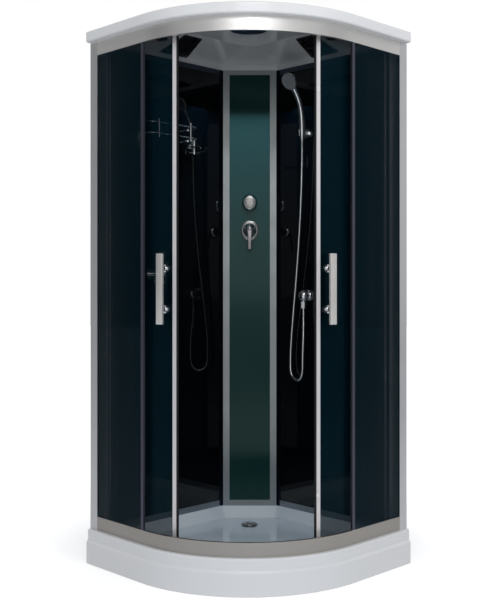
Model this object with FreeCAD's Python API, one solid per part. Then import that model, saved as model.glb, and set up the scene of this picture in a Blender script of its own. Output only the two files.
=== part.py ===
"""Corner shower cabin with a quadrant front, built piece by piece in millimetres.

Frame: +Z up, the front faces -Y, the room corner lies at +Y and the cabin is symmetric about X = 0.
Most pieces are drawn in the wall frame: x runs out from the right wall, y runs along that wall
away from the room corner, so the front straight on the right is the line y = SIDE.
"""
import FreeCAD, Part
import math
import os

V = FreeCAD.Vector
UP = V(0, 0, 1)
ORIGIN = V(0, 0, 0)

# ---- driving dimensions ---------------------------------------------------------------------
SIDE = 900.0  # tray side along each wall
FRONT_RADIUS = 550.0  # radius of the quadrant front at the tray's apron
CORNER_RADIUS = 20.0  # rounding of the room corner
TOTAL_HEIGHT = 2150.0

TRAY_HEIGHT = 130.0  # top of the front rim
DECK_HEIGHT = 110.0  # ledge that the wall frames stand on
FLOOR_HEIGHT = 66.0  # edge of the basin floor
FLOOR_FALL = 4.0  # fall from that edge to the drain
TRAY_WALL = 6.0
APRON_STEP = 7.0  # how far the upper band of the apron is set back
APRON_STEP_LOW = 81.0
APRON_STEP_HIGH = 90.0
SKIRT_OPENING = 70.0  # height left open along the walls for pipes

RAIL_SETBACK = 25.4  # outer face of rails and posts behind the tray's outline
RAIL_HEIGHT = 52.0
RAIL_WEB = 10.6
RAIL_PLATE = 3.0
BOTTOM_RAIL_DEPTH = 50.0
TOP_RAIL_DEPTH = 66.0
ROOF_UNDERSIDE = TOTAL_HEIGHT - 127.0
FASCIA_HEIGHT = 40.5
FASCIA_REACH = 2.3  # how far the roof stands proud of the tray
ROOF_WALL = 5.0
CEILING_RIM = ROOF_UNDERSIDE + 20.0
CEILING_TOP = ROOF_UNDERSIDE + 63.0

POST_WIDTH = 45.0
POST_DEPTH = 50.0
POST_WALL = 2.0

GLASS = 5.0
SLOT_GAP = 0.1  # play on each side of a glass in its groove
GROOVE_DEPTH = 12.0
FIXED_SETBACK = 30.0  # middle of the fixed glass behind the outline
FIXED_EDGE = 325.0  # free edge of the fixed glass, measured from the wall
STRIP_WIDTH = 15.0

WALL_GLASS_BACK = 20.0
WALL_FACE = 25.0
FRAME_DEPTH = 28.0
FRAME_BAND = 25.0  # height of the wall frame's bottom member
FRAME_TOP_BAND = 20.0
FRAME_FRONT_WIDTH = 39.0
FRAME_LIP = 8.0

PILLAR_DISTANCE = 162.4  # pillar face from the room corner along the diagonal
PANEL_HALF = 89.0
PANEL_THICK = 4.0
TRIM_DEPTH = 8.0
TRIM_HALF = 117.0  # outer edge of the bright face strip from the pillar's middle
PILLAR_LEG = 10.0  # how far the pillar's side trim reaches along the wall glass

DOOR_SETBACK = 68.0  # middle of the door glass behind the outline when shut
DOOR_LENGTH = 418.6
DOOR_BOTTOM = 160.0
DOOR_TOP = ROOF_UNDERSIDE - 39.0
SEAL_WIDTH = 6.5
SEAL_THICK = 8.0
EDGE_WIDTH = 14.5
EDGE_THICK = 12.0
REAR_EDGE_WIDTH = 14.0
REAR_EDGE_THICK = 8.0
ROLLER_INSET = 60.0
RIGHT_SHIFT = 260.5  # travel along the track from shut to the open pose
LEFT_SHIFT = 273.5
MEET_GAP = 0.3  # half of the gap left between the two seals when shut

WHEEL_RADIUS = 11.0
WHEEL_WIDTH = 5.0
AXLE_RADIUS = 3.0
RUNNING_GAP = 0.05
CLEAR = 0.3
TRACK_HEIGHT = ROOF_UNDERSIDE - 32.0
WHEEL_SETBACK = 52.0
HANGER_SETBACK = 76.5
HANGER_THICK = 3.0

HANDLE_OFFSET = 50.5  # stand-offs behind the tip of the seal
HANDLE_STAND = 45.0
HANDLE_HEIGHT = 1066.5
HANDLE_LENGTH = 256.0
HANDLE_WIDTH = 26.0
HANDLE_THICK = 12.0
HANDLE_PITCH = 149.0
STANDOFF_RADIUS = 9.0
ROSETTE_RADIUS = 14.5

MIXER_HEIGHT = 1319.0
DIVERTER_HEIGHT = 1441.0
LEVER_WIDTH = 15.0
HUB_RADIUS = 30.0
HUB_CAVITY = 20.0
ESCUTCHEON_THICK = 4.0

DRAIN_DISTANCE = 308.0  # drain centre from the room corner along the diagonal
DRAIN_COVER_RADIUS = 33.0
OUTLET_RADIUS = 20.0
SPIGOT_LENGTH = 41.0
INLET_RADIUS = 10.45
INLET_LENGTH = 24.0

SHOWER_ALONG = 374.5  # hand shower holder along the right wall
SHOWER_OUT = 58.0
HOLDER_HEIGHT = ROOF_UNDERSIDE - 297.0
HOSE_STEADY = V(1, 0, 0)
OUTLET_ALONG = 378.0
OUTLET_OUT = 53.0
OUTLET_HEIGHT = 1035.0
HOSE_RADIUS = 6.0
HOSE_BORE = 4.0
HOSE_RIB_DEPTH = 0.6
HOSE_SPANS = 28
RIBS_PER_SPAN = 7
HEAD_TILT = 31.6  # how far the spray face looks down
HEAD_RADIUS = 37.5

OVERHEAD_DISTANCE = 627.0
OVERHEAD_RADIUS = 73.0
OVERHEAD_THICK = 10.0

VENT_OUT = 120.0  # middle of the ceiling panels' width
VENT_ALONG = 497.0
VENT_NEAR = 82.0  # from there to the panel's low corner beside the pillar
VENT_FAR = 62.0
VENT_SLANT = 57.0  # how far the edge beside the pillar leans back over the panel's width
VENT_WIDTH = 165.0
VENT_THICK = 6.0
FAN_OUT = 154.0  # centre of the fan and of the loudspeaker
FAN_ALONG = 509.0
FAN_RADIUS = 40.0

SHELF_CENTRE = 528.0
SHELF_LENGTH = 340.0
SHELF_DEPTH = 120.0
SHELF_HEIGHT = 1651.0
SHELF_GLASS = 6.0
GALLERY_LOW = 1692.6
GALLERY_HIGH = 1738.0
GALLERY_HALF = 132.0
GALLERY_OUT = 100.0
ROD_RADIUS = 3.0

TUMBLER_ALONG = 596.0
TUMBLER_OUT = 92.0
TUMBLER_TOP = 1213.0
TUMBLER_HEIGHT = 120.0
TUMBLER_RADIUS = 32.5
TUMBLER_WALL = 2.5

FRAME_TUBE = 20.0
FRAME_TUBE_WALL = 2.0

# ---- derived places -------------------------------------------------------------------------
ARC_CENTRE = SIDE - FRONT_RADIUS
ROOT2 = math.sqrt(2.0)
BACK = CORNER_RADIUS * (ROOT2 - 1.0)
FRONT = ARC_CENTRE * ROOT2 + FRONT_RADIUS + FASCIA_REACH
CORNER_Y = (FRONT + BACK) / 2.0  # puts the origin under the middle of the bounding box
PILLAR_Y = CORNER_Y - PILLAR_DISTANCE
RAIL_FACE = SIDE - RAIL_SETBACK
POST_BACK = RAIL_FACE - POST_DEPTH
RIM_SETBACK = RAIL_SETBACK + POST_DEPTH
BOTTOM_RAIL_TOP = TRAY_HEIGHT + RAIL_HEIGHT
TOP_RAIL_BOTTOM = ROOF_UNDERSIDE - RAIL_HEIGHT
DOOR_RADIUS = FRONT_RADIUS - DOOR_SETBACK
DOOR_ARC = DOOR_RADIUS * math.pi / 4.0
WHEEL_AXIS = TRACK_HEIGHT + CLEAR + WHEEL_RADIUS
CORNER_LEG = PILLAR_DISTANCE * ROOT2 - WALL_FACE  # where the pillar face meets the wall face


# ---- helpers --------------------------------------------------------------------------------
def in_part_frame(shape):
    """Carry a shape from the wall frame to the part's frame."""
    moved = shape.copy()
    moved.rotate(ORIGIN, UP, -135.0)
    moved.translate(V(0, CORNER_Y, 0))
    return moved


def mirrored(shape):
    """The same piece on the other side of the cabin, in the part's frame."""
    return shape.mirror(ORIGIN, V(1, 0, 0))


def pillar_point(across, depth, height):
    """A point in front of the pillar face, in the part's frame."""
    return V(across, PILLAR_Y - depth, height)


def box(x0, x1, y0, y1, z0, z1):
    return Part.makeBox(x1 - x0, y1 - y0, z1 - z0, V(x0, y0, z0))


def cylinder(radius, start, end):
    axis = end.sub(start)
    return Part.makeCylinder(radius, axis.Length, start, axis)


def cone(r0, r1, start, end):
    axis = end.sub(start)
    return Part.makeCone(r0, r1, axis.Length, start, axis)


def ring(outer, inner, start, end):
    return cylinder(outer, start, end).cut(cylinder(inner, start, end))


def fuse(shapes):
    first = shapes[0]
    return first.multiFuse(list(shapes[1:])).removeSplitter() if len(shapes) > 1 else first


def cut(shape, tools):
    return shape.cut(Part.makeCompound(list(tools)))


def rounded_wire(corners, height):
    """Closed wire through (x, y, radius) corners at one height, each corner rounded by its radius."""
    count = len(corners)
    ends = []
    arcs = []
    for i in range(count):
        x, y, radius = corners[i]
        here = V(x, y, height)
        back = V(corners[i - 1][0], corners[i - 1][1], height).sub(here).normalize()
        ahead = V(corners[(i + 1) % count][0], corners[(i + 1) % count][1], height).sub(here).normalize()
        half = back.getAngle(ahead) / 2.0
        reach = radius / math.tan(half)
        start = here.add(V(back).multiply(reach))
        finish = here.add(V(ahead).multiply(reach))
        if radius > 0:
            inward = back.add(ahead).normalize()
            middle = here.add(inward.multiply(radius / math.sin(half) - radius))
            arcs.append(Part.Arc(start, middle, finish).toShape())
        else:
            arcs.append(None)
        ends.append((start, finish))
    edges = []
    for i in range(count):
        if arcs[i] is not None:
            edges.append(arcs[i])
        here, there = ends[i][1], ends[(i + 1) % count][0]
        if here.sub(there).Length > 1e-6:
            edges.append(Part.LineSegment(here, there).toShape())
    return Part.Wire(edges)


def prism(wire, height):
    return Part.Face(wire).extrude(V(0, 0, height))


def outline_corners(offset, wall=0.0, corner=0.0, side=0.0):
    """The quadrant plan: two wall sides, two front straights and the front arc."""
    edge = SIDE + offset
    return [(wall, wall, corner), (edge, wall, side), (edge, edge, FRONT_RADIUS + offset), (wall, edge, side)]


def basin_corners(offset, wall, back, radius):
    """The quadrant plan with its room corner cut off along the pillar."""
    edge = SIDE + offset
    reach = back * ROOT2 - wall
    return [
        (wall, reach, radius),
        (reach, wall, radius),
        (edge, wall, radius),
        (edge, edge, FRONT_RADIUS + offset),
        (wall, edge, radius),
    ]


def plan_prism(offset, z0, z1, wall=0.0, corner=0.0, side=0.0):
    return prism(rounded_wire(outline_corners(offset, wall, corner, side), z0), z1 - z0)


def plan_loft(low, high):
    return Part.makeLoft([low, high], True, True)


def band(outer, inner, start, z0, z1):
    """A strip along the front between two set-backs, ending at a distance from each wall."""
    far, near = SIDE - outer, SIDE - inner
    wide, narrow = FRONT_RADIUS - outer, FRONT_RADIUS - inner
    mid_far = ARC_CENTRE + wide / ROOT2
    mid_near = ARC_CENTRE + narrow / ROOT2
    points = [V(start, far, z0), V(ARC_CENTRE, far, z0), V(far, ARC_CENTRE, z0), V(far, start, z0)]
    inside = [V(near, start, z0), V(near, ARC_CENTRE, z0), V(ARC_CENTRE, near, z0), V(start, near, z0)]
    edges = [
        Part.LineSegment(points[0], points[1]).toShape(),
        Part.Arc(points[1], V(mid_far, mid_far, z0), points[2]).toShape(),
        Part.LineSegment(points[2], points[3]).toShape(),
        Part.LineSegment(points[3], inside[0]).toShape(),
        Part.LineSegment(inside[0], inside[1]).toShape(),
        Part.Arc(inside[1], V(mid_near, mid_near, z0), inside[2]).toShape(),
        Part.LineSegment(inside[2], inside[3]).toShape(),
        Part.LineSegment(inside[3], points[0]).toShape(),
    ]
    return prism(Part.Wire(edges), z1 - z0)


def swap_sides(shape):
    """The same piece at the other end of the front, in the wall frame."""
    return shape.mirror(ORIGIN, V(1, -1, 0))


def front_edges(shape, height):
    """The outline's edges at one height, without those along the walls."""
    found = []
    for edge in shape.Edges:
        bounds = edge.BoundBox
        level = abs(bounds.ZMin - height) < 1e-3 and abs(bounds.ZMax - height) < 1e-3
        centre = edge.CenterOfMass
        if level and centre.x > 5.0 and centre.y > 5.0:
            found.append(edge)
    return found


def arc_wire(points, bend=None):
    """Straight runs through the points, joined by tangent arcs: the largest, or of one radius."""
    edges = []
    radii = []
    last = points[0]
    for i in range(1, len(points) - 1):
        here = points[i]
        back = points[i - 1].sub(here)
        ahead = points[i + 1].sub(here)
        turn = math.pi - back.getAngle(ahead)
        reach = 0.45 * min(back.Length, ahead.Length)
        if bend is not None:
            reach = min(reach, bend * math.tan(turn / 2.0))
        radius = reach / math.tan(turn / 2.0)
        radii.append(radius)
        back = back.normalize()
        ahead = ahead.normalize()
        start = here.add(V(back).multiply(reach))
        finish = here.add(V(ahead).multiply(reach))
        inward = back.add(ahead).normalize()
        middle = here.add(inward.multiply(math.hypot(radius, reach) - radius))
        edges.append(Part.LineSegment(last, start).toShape())
        edges.append(Part.Arc(start, middle, finish).toShape())
        last = finish
    edges.append(Part.LineSegment(last, points[-1]).toShape())
    return Part.Wire(edges), radii


def pipe(points, radius, bend=None):
    """A round bar or pipe along straight runs and tangent arcs."""
    wire, _ = arc_wire(points, bend)
    start = wire.OrderedEdges[0]
    section = Part.Wire([Part.makeCircle(radius, points[0], start.tangentAt(start.FirstParameter))])
    return wire.makePipeShell([section], True, False)


def hexagon(across_flats, start, height):
    radius = across_flats / 2.0 / math.cos(math.pi / 6.0)
    points = []
    for i in range(7):
        angle = math.radians(60.0 * i)
        points.append(start.add(V(radius * math.cos(angle), radius * math.sin(angle), 0)))
    return Part.Face(Part.makePolygon(points)).extrude(V(0, 0, height))


# ---- tray, frame, feet and drain ---------------------------------------------------------------
def basin_cut():
    deck = prism(rounded_wire(basin_corners(-RIM_SETBACK, -1.0, -2.0, 0.0), DECK_HEIGHT), TRAY_HEIGHT)
    high = rounded_wire(basin_corners(-RIM_SETBACK, 30.0, 167.0, 30.0), DECK_HEIGHT)
    low = rounded_wire(basin_corners(-130.0, 60.0, 196.0, 24.0), FLOOR_HEIGHT)
    return deck, plan_loft(low, high)


def drain_centre(height):
    return V(DRAIN_DISTANCE / ROOT2, DRAIN_DISTANCE / ROOT2, height)


def make_tray():
    lower = plan_prism(0.0, 0.0, APRON_STEP_LOW, corner=CORNER_RADIUS, side=15.0)
    slope = plan_loft(
        rounded_wire(outline_corners(0.0, 0.0, CORNER_RADIUS, 15.0), APRON_STEP_LOW),
        rounded_wire(outline_corners(-APRON_STEP, 0.0, CORNER_RADIUS, 15.0), APRON_STEP_HIGH),
    )
    upper = plan_prism(-APRON_STEP, APRON_STEP_HIGH, TRAY_HEIGHT, corner=CORNER_RADIUS, side=15.0)
    upper = upper.makeFillet(5.0, front_edges(upper, TRAY_HEIGHT))
    body = fuse([lower, slope, upper])
    deck, basin = basin_cut()
    shell = TRAY_WALL
    under = plan_prism(-APRON_STEP - shell, -1.0, DECK_HEIGHT - shell, wall=shell + 2.0)
    rim_hollow = band(APRON_STEP + shell, RIM_SETBACK - shell, POST_WIDTH, DECK_HEIGHT - shell - 1.0,
                      TRAY_HEIGHT - shell)
    high = rounded_wire(basin_corners(-RIM_SETBACK + shell, 30.0 - shell, 167.0 - shell, 30.0), DECK_HEIGHT)
    low = rounded_wire(basin_corners(-130.0 + shell, 60.0 - shell, 196.0 - shell, 24.0),
                       FLOOR_HEIGHT - FLOOR_FALL - shell)
    basin_outside = plan_loft(low, high)
    hollow = fuse([under, rim_hollow]).cut(basin_outside)
    sides = fuse([box(-1, 12, -1, SIDE - 60, -1, SKIRT_OPENING), box(-1, SIDE - 60, -1, 12, -1, SKIRT_OPENING),
                  box(-1, 24, -1, 24, -1, SKIRT_OPENING)])
    fall = cone(DRAIN_COVER_RADIUS + 12.0, 330.0, drain_centre(FLOOR_HEIGHT - FLOOR_FALL),
                drain_centre(FLOOR_HEIGHT))
    floor_area = prism(rounded_wire(basin_corners(-131.0, 61.0, 197.0, 24.0), FLOOR_HEIGHT - 10.0), 12.0)
    well = cylinder(DRAIN_COVER_RADIUS + 12.0, drain_centre(FLOOR_HEIGHT - FLOOR_FALL), drain_centre(FLOOR_HEIGHT + 1))
    seat = cylinder(DRAIN_COVER_RADIUS + 4.0, drain_centre(FLOOR_HEIGHT - FLOOR_FALL - 2.0), drain_centre(FLOOR_HEIGHT))
    hole = cylinder(28.0, drain_centre(0), drain_centre(FLOOR_HEIGHT))
    return cut(body, [deck, basin, hollow, sides, fall.common(floor_area), well, seat, hole])


FRAME_TOP = FLOOR_HEIGHT - FLOOR_FALL - TRAY_WALL
FRAME_LOW = FRAME_TOP - FRAME_TUBE
FOOT_PLACES = [(90.0, 330.0), (330.0, 90.0), (90.0, 760.0), (760.0, 90.0), (620.0, 620.0), (425.0, 425.0)]


def tube_between(start, end, grow):
    """Solid of a square bar between two plan points, grown by a margin on its section."""
    axis = end.sub(start)
    half = FRAME_TUBE / 2.0 + grow
    bar = Part.makeBox(axis.Length, 2 * half, 2 * half, V(0, -half, -half))
    bar.rotate(ORIGIN, UP, math.degrees(math.atan2(axis.y, axis.x)))
    bar.translate(start)
    return bar


def make_tray_frame():
    level = FRAME_LOW + FRAME_TUBE / 2.0
    runs = [
        (V(90, 300, level), V(90, 800, level)),
        (V(300, 90, level), V(800, 90, level)),
        (V(90, 760, level), V(760, 90, level)),
        (V(425, 425, level), V(650, 650, level)),
        (V(90, 330, level), V(420, 422, level)),
        (V(330, 90, level), V(422, 420, level)),
    ]
    studs = [cylinder(6.0 + CLEAR, V(x, y, 0), V(x, y, FRAME_TOP + 1)) for x, y in FOOT_PLACES]
    placed = []
    tubes = []
    for start, end in runs:
        bar = tube_between(start, end, 0.0)
        tubes.append(cut(bar, [tube_between(start, end, -FRAME_TUBE_WALL)] + placed + studs))
        placed.append(bar)
    return Part.makeCompound(tubes)


def make_levelling_feet():
    feet = []
    for x, y in FOOT_PLACES:
        pad = cone(22.0, 14.0, V(x, y, 0), V(x, y, 8.0))
        feet.append(fuse([pad, cylinder(6.0, V(x, y, 7.0), V(x, y, FRAME_TOP - CLEAR))]))
    return Part.makeCompound(feet)


def make_foot_nuts():
    nuts = []
    for x, y in FOOT_PLACES:
        nut = hexagon(19.0, V(x, y, FRAME_LOW - 10.0), 10.0)
        nuts.append(nut.cut(cylinder(6.0, V(x, y, 0), V(x, y, FRAME_TOP))))
    return Part.makeCompound(nuts)


def make_drain_trap():
    top = FRAME_TOP
    body = cylinder(52.0, drain_centre(6.0), drain_centre(top - 6.0))
    neck = cylinder(31.0, drain_centre(top - 6.0), drain_centre(top))
    inside = cylinder(48.0, drain_centre(10.0), drain_centre(top - 10.0))
    throat = cylinder(22.0, drain_centre(top - 11.0), drain_centre(top + 1.0))
    out = V(-1.0, -1.0, 0).normalize()
    level = 6.0 + OUTLET_RADIUS + 1.0

    def along(distance):
        return drain_centre(level).add(V(out).multiply(distance))

    collar = cylinder(OUTLET_RADIUS + 2.5, along(40.0), along(58.0))
    relief = cylinder(OUTLET_RADIUS - 1.0, along(57.0), along(60.0))
    spigot = cylinder(OUTLET_RADIUS, along(59.0), along(59.0 + SPIGOT_LENGTH))
    bore = cylinder(OUTLET_RADIUS - 2.0, along(40.0), along(60.0 + SPIGOT_LENGTH))
    return cut(fuse([body, neck, collar, relief, spigot]), [inside, throat, bore])


def make_drain_flange():
    level = FLOOR_HEIGHT - FLOOR_FALL
    plate = ring(DRAIN_COVER_RADIUS + 3.7, 22.0, drain_centre(level - 2.0), drain_centre(level - 0.4))
    tail = ring(27.7, 22.0, drain_centre(FRAME_TOP), drain_centre(level - 1.9))
    cross = box(-22.5, 22.5, -1.5, 1.5, level - 5.0, level - 2.0)
    other = box(-1.5, 1.5, -22.5, 22.5, level - 5.0, level - 2.0)
    spider = fuse([cross, other, cylinder(5.0, V(0, 0, level - 5.0), V(0, 0, level - 0.4))])
    spider.translate(drain_centre(0))
    return fuse([plate, tail, spider])


def make_drain_cover():
    """A domed lid that stands on three lugs and lifts off."""
    level = FLOOR_HEIGHT - FLOOR_FALL
    radius = DRAIN_COVER_RADIUS
    lid = cylinder(radius, drain_centre(level + 3.0), drain_centre(level + 7.0))
    edges = [e for e in lid.Edges if abs(e.BoundBox.ZMin - level - 7.0) < 1e-3 and e.BoundBox.ZLength < 1e-3]
    lid = lid.makeFillet(3.0, edges)
    dish = cylinder(13.0, drain_centre(level + 5.5), drain_centre(level + 8.0))
    lid = lid.cut(dish)
    lugs = []
    for i in range(3):
        angle = math.radians(60.0 + 120.0 * i)
        foot = drain_centre(level - 0.1).add(V(27.5 * math.cos(angle), 27.5 * math.sin(angle), 0))
        lugs.append(cylinder(3.0, foot, foot.add(V(0, 0, 3.5))))
    return fuse([lid] + lugs)


# ---- rails, posts and fixed glass ----------------------------------------------------------------
def groove(z0, z1):
    """The two grooves that hold the fixed glasses in a rail."""
    half = GLASS / 2.0 + SLOT_GAP
    face = SIDE - FIXED_SETBACK
    right = box(POST_WIDTH - 1.0, FIXED_EDGE + 5.0, face - half, face + half, z0, z1)
    return fuse([right]), swap_sides(right)


def make_bottom_rail():
    web = band(RAIL_SETBACK, RAIL_SETBACK + RAIL_WEB, POST_WIDTH, TRAY_HEIGHT, BOTTOM_RAIL_TOP)
    plate = band(RAIL_SETBACK, RAIL_SETBACK + BOTTOM_RAIL_DEPTH, POST_WIDTH, TRAY_HEIGHT, TRAY_HEIGHT + RAIL_PLATE)
    return cut(fuse([web, plate]), groove(BOTTOM_RAIL_TOP - GROOVE_DEPTH, BOTTOM_RAIL_TOP + 1))


def make_top_rail():
    top = ROOF_UNDERSIDE
    web = band(RAIL_SETBACK, RAIL_SETBACK + RAIL_WEB, POST_WIDTH, TOP_RAIL_BOTTOM, top)
    plate = band(RAIL_SETBACK, RAIL_SETBACK + TOP_RAIL_DEPTH, POST_WIDTH, top - RAIL_PLATE, top)
    track = band(RAIL_SETBACK + RAIL_WEB - 1.0, WHEEL_SETBACK + 8.5, POST_WIDTH,
                 TRACK_HEIGHT - RAIL_PLATE, TRACK_HEIGHT)
    return cut(fuse([web, plate, track]), groove(TOP_RAIL_BOTTOM - 1, TOP_RAIL_BOTTOM + GROOVE_DEPTH))


def make_right_post():
    outside = box(0, POST_WIDTH, POST_BACK, RAIL_FACE, TRAY_HEIGHT, ROOF_UNDERSIDE)
    half = GLASS / 2.0 + SLOT_GAP
    face = SIDE - FIXED_SETBACK
    slot = box(POST_WIDTH - GROOVE_DEPTH, POST_WIDTH + 1, face - half, face + half, TRAY_HEIGHT - 1,
               ROOF_UNDERSIDE + 1)
    inner = POST_WIDTH - GROOVE_DEPTH - POST_WALL
    core = box(POST_WALL, inner, POST_BACK + POST_WALL, RAIL_FACE - POST_WALL, TRAY_HEIGHT - 1,
               ROOF_UNDERSIDE + 1)
    return cut(outside, [slot, core])


def make_right_fixed_glass():
    half = GLASS / 2.0
    face = SIDE - FIXED_SETBACK
    play = 0.5
    return box(POST_WIDTH - GROOVE_DEPTH + play, FIXED_EDGE, face - half, face + half,
               BOTTOM_RAIL_TOP - GROOVE_DEPTH + play, TOP_RAIL_BOTTOM + GROOVE_DEPTH - play)


def make_right_fixed_strip():
    """The slim profile pushed over the free edge of the fixed glass."""
    face = SIDE - FIXED_SETBACK
    half = GLASS / 2.0
    outer = box(FIXED_EDGE - STRIP_WIDTH / 2.0, FIXED_EDGE + STRIP_WIDTH / 2.0, face - half - 1.5,
                face + half + 1.5, BOTTOM_RAIL_TOP + CLEAR, TOP_RAIL_BOTTOM - CLEAR)
    slot = box(0, FIXED_EDGE + 0.5, face - half - SLOT_GAP, face + half + SLOT_GAP, 0, TOTAL_HEIGHT)
    return outer.cut(slot)


# ---- walls and pillar ----------------------------------------------------------------------------
def make_wall_glass():
    low = DECK_HEIGHT + FRAME_BAND - FRAME_LIP
    high = ROOF_UNDERSIDE - FRAME_TOP_BAND + FRAME_LIP
    return box(WALL_GLASS_BACK, WALL_FACE, CORNER_LEG + FRAME_LIP, POST_BACK - FRAME_FRONT_WIDTH + FRAME_LIP,
               low, high)


def outlet_hole():
    """The hole in the right wall glass for the hand shower's outlet."""
    return cylinder(6.0, V(0, OUTLET_ALONG, OUTLET_HEIGHT), V(WALL_FACE + 1.0, OUTLET_ALONG, OUTLET_HEIGHT))


def make_right_wall_frame():
    """Bottom, top and front members of the wall, with the groove that the glass sits in."""
    start = CORNER_LEG + PILLAR_LEG + CLEAR
    low, high = DECK_HEIGHT, ROOF_UNDERSIDE
    front = POST_BACK
    inner = front - FRAME_FRONT_WIDTH
    members = [
        box(0, FRAME_DEPTH, start, inner, low, low + FRAME_BAND),
        box(0, FRAME_DEPTH, start, inner, high - FRAME_TOP_BAND, high),
        box(0, FRAME_DEPTH, inner, front, low, high),
    ]
    back = box(2.0, WALL_GLASS_BACK - 2.0, start - 1, front - 2.0, low - 1, low + FRAME_BAND - 12.0)
    play = 0.5
    glass = box(WALL_GLASS_BACK - SLOT_GAP, WALL_FACE + SLOT_GAP, start - 1,
                front - FRAME_FRONT_WIDTH + FRAME_LIP + play, low + FRAME_BAND - FRAME_LIP - play,
                high - FRAME_TOP_BAND + FRAME_LIP + play)
    return Part.makeCompound([cut(member, [back, glass]) for member in members])


def pillar_plane_box(half0, half1, depth0, depth1, z0, z1):
    """A bar on the pillar face between two distances from its middle, in the part's frame."""
    return box(half0, half1, PILLAR_Y - depth1, PILLAR_Y - depth0, z0, z1)


def make_pillar_panel():
    low, high = DECK_HEIGHT + FRAME_BAND - FRAME_LIP, ROOF_UNDERSIDE - FRAME_TOP_BAND + FRAME_LIP
    panel = pillar_plane_box(-PANEL_HALF - FRAME_LIP, PANEL_HALF + FRAME_LIP, -PANEL_THICK, 0, low, high)
    holes = [
        cylinder(22.0, pillar_point(0, 1, MIXER_HEIGHT), pillar_point(0, -10, MIXER_HEIGHT)),
        cylinder(14.0, pillar_point(0, 1, DIVERTER_HEIGHT), pillar_point(0, -10, DIVERTER_HEIGHT)),
    ]
    return cut(panel, holes)


def make_pillar_frame():
    """Two side trims that turn onto the walls, and the bottom and top members between them."""
    low, high = DECK_HEIGHT, ROOF_UNDERSIDE
    meet = CORNER_LEG
    reach = ROOT2
    face = 2.0
    # plan polygon in the wall frame: the face strip on the pillar plane and the leg on the wall
    front_line = (PILLAR_DISTANCE + face) * reach
    back_line = (PILLAR_DISTANCE - TRIM_DEPTH) * reach
    inner_face = (front_line - (PANEL_HALF * reach)) / 2.0
    inner_back = (back_line - (PANEL_HALF * reach)) / 2.0
    leg_face = FRAME_DEPTH
    strip_edge = (front_line - TRIM_HALF * reach) / 2.0
    points = [
        V(inner_back, back_line - inner_back, low),
        V(inner_face, front_line - inner_face, low),
        V(strip_edge, front_line - strip_edge, low),
        V(leg_face, leg_face + TRIM_HALF * reach, low),
        V(leg_face, meet + PILLAR_LEG, low),
        V(WALL_FACE + SLOT_GAP, meet + PILLAR_LEG, low),
        V(WALL_FACE + SLOT_GAP, back_line - WALL_FACE - SLOT_GAP, low),
    ]
    points.append(points[0])
    right = Part.Face(Part.makePolygon(points)).extrude(V(0, 0, high - low))
    right = in_part_frame(right)
    slot = pillar_plane_box(-PANEL_HALF - FRAME_LIP - 0.5, PANEL_HALF + FRAME_LIP + 0.5, -PANEL_THICK - SLOT_GAP,
                            SLOT_GAP, low + FRAME_BAND - FRAME_LIP - 0.5, high - FRAME_TOP_BAND + FRAME_LIP + 0.5)
    right = right.cut(slot)
    bottom = pillar_plane_box(-PANEL_HALF, PANEL_HALF, -TRIM_DEPTH, face, low, low + FRAME_BAND).cut(slot)
    top = pillar_plane_box(-PANEL_HALF, PANEL_HALF, -TRIM_DEPTH, face, high - FRAME_TOP_BAND, high).cut(slot)
    return Part.makeCompound([right, mirrored(right), bottom, top])


# ---- roof ----------------------------------------------------------------------------------------
PLATEAU_SETBACK = 240.0
PLATEAU_WALL = 220.0
PLATEAU_BACK = 330.0
SLOPE_WALL = 33.0


def vent_slope():
    """Rise of the ceiling beside a wall, as an angle."""
    return math.atan2(CEILING_TOP - CEILING_RIM, PLATEAU_WALL - SLOPE_WALL)


def make_roof():
    low = ROOF_UNDERSIDE
    top = low + FASCIA_HEIGHT
    ringed = plan_prism(FASCIA_REACH, low, top, corner=CORNER_RADIUS, side=15.0)
    ringed = ringed.makeFillet(8.0, front_edges(ringed, low))
    ringed = ringed.makeFillet(6.0, front_edges(ringed, top))
    dome = plan_loft(
        rounded_wire(basin_corners(-150.0, 113.0, 240.0, 20.0), top - 0.5),
        rounded_wire(basin_corners(-PLATEAU_SETBACK + 4.0, PLATEAU_WALL - 4.0, PLATEAU_BACK - 4.0, 20.0),
                     CEILING_TOP + ROOF_WALL),
    )
    rim = TOP_RAIL_DEPTH + RAIL_SETBACK
    mouth = prism(rounded_wire(basin_corners(-rim, SLOPE_WALL, PILLAR_DISTANCE + 6.0, 10.0), low - 1),
                  CEILING_RIM - low + 1)
    vault = plan_loft(
        rounded_wire(basin_corners(-rim, SLOPE_WALL, PILLAR_DISTANCE + 6.0, 10.0), CEILING_RIM),
        rounded_wire(basin_corners(-PLATEAU_SETBACK, PLATEAU_WALL, PLATEAU_BACK, 10.0), CEILING_TOP),
    )
    hollow = [
        band(-FASCIA_REACH + ROOF_WALL, rim - ROOF_WALL, POST_WIDTH, low + ROOF_WALL, top - ROOF_WALL),
        band(RAIL_SETBACK + RAIL_WEB + 2.0, rim - ROOF_WALL, POST_WIDTH, low - 1, low + ROOF_WALL + 1),
    ]
    vents = [
        cylinder(FAN_RADIUS + CLEAR, V(FAN_OUT, FAN_ALONG, low), V(FAN_OUT, FAN_ALONG, TOTAL_HEIGHT)),
        cylinder(FAN_RADIUS + CLEAR, V(FAN_ALONG, FAN_OUT, low), V(FAN_ALONG, FAN_OUT, TOTAL_HEIGHT)),
    ]
    centre = OVERHEAD_DISTANCE / ROOT2
    stem = cylinder(10.5, V(centre, centre, low), V(centre, centre, TOTAL_HEIGHT))
    riser = RISER_DISTANCE / ROOT2
    pipe_hole = cylinder(PIPE_RADIUS + 2.0, V(riser, riser, low - 1), V(riser, riser, TOTAL_HEIGHT))
    return cut(fuse([ringed, dome]), [mouth, vault, stem, pipe_hole] + hollow + vents)


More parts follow.
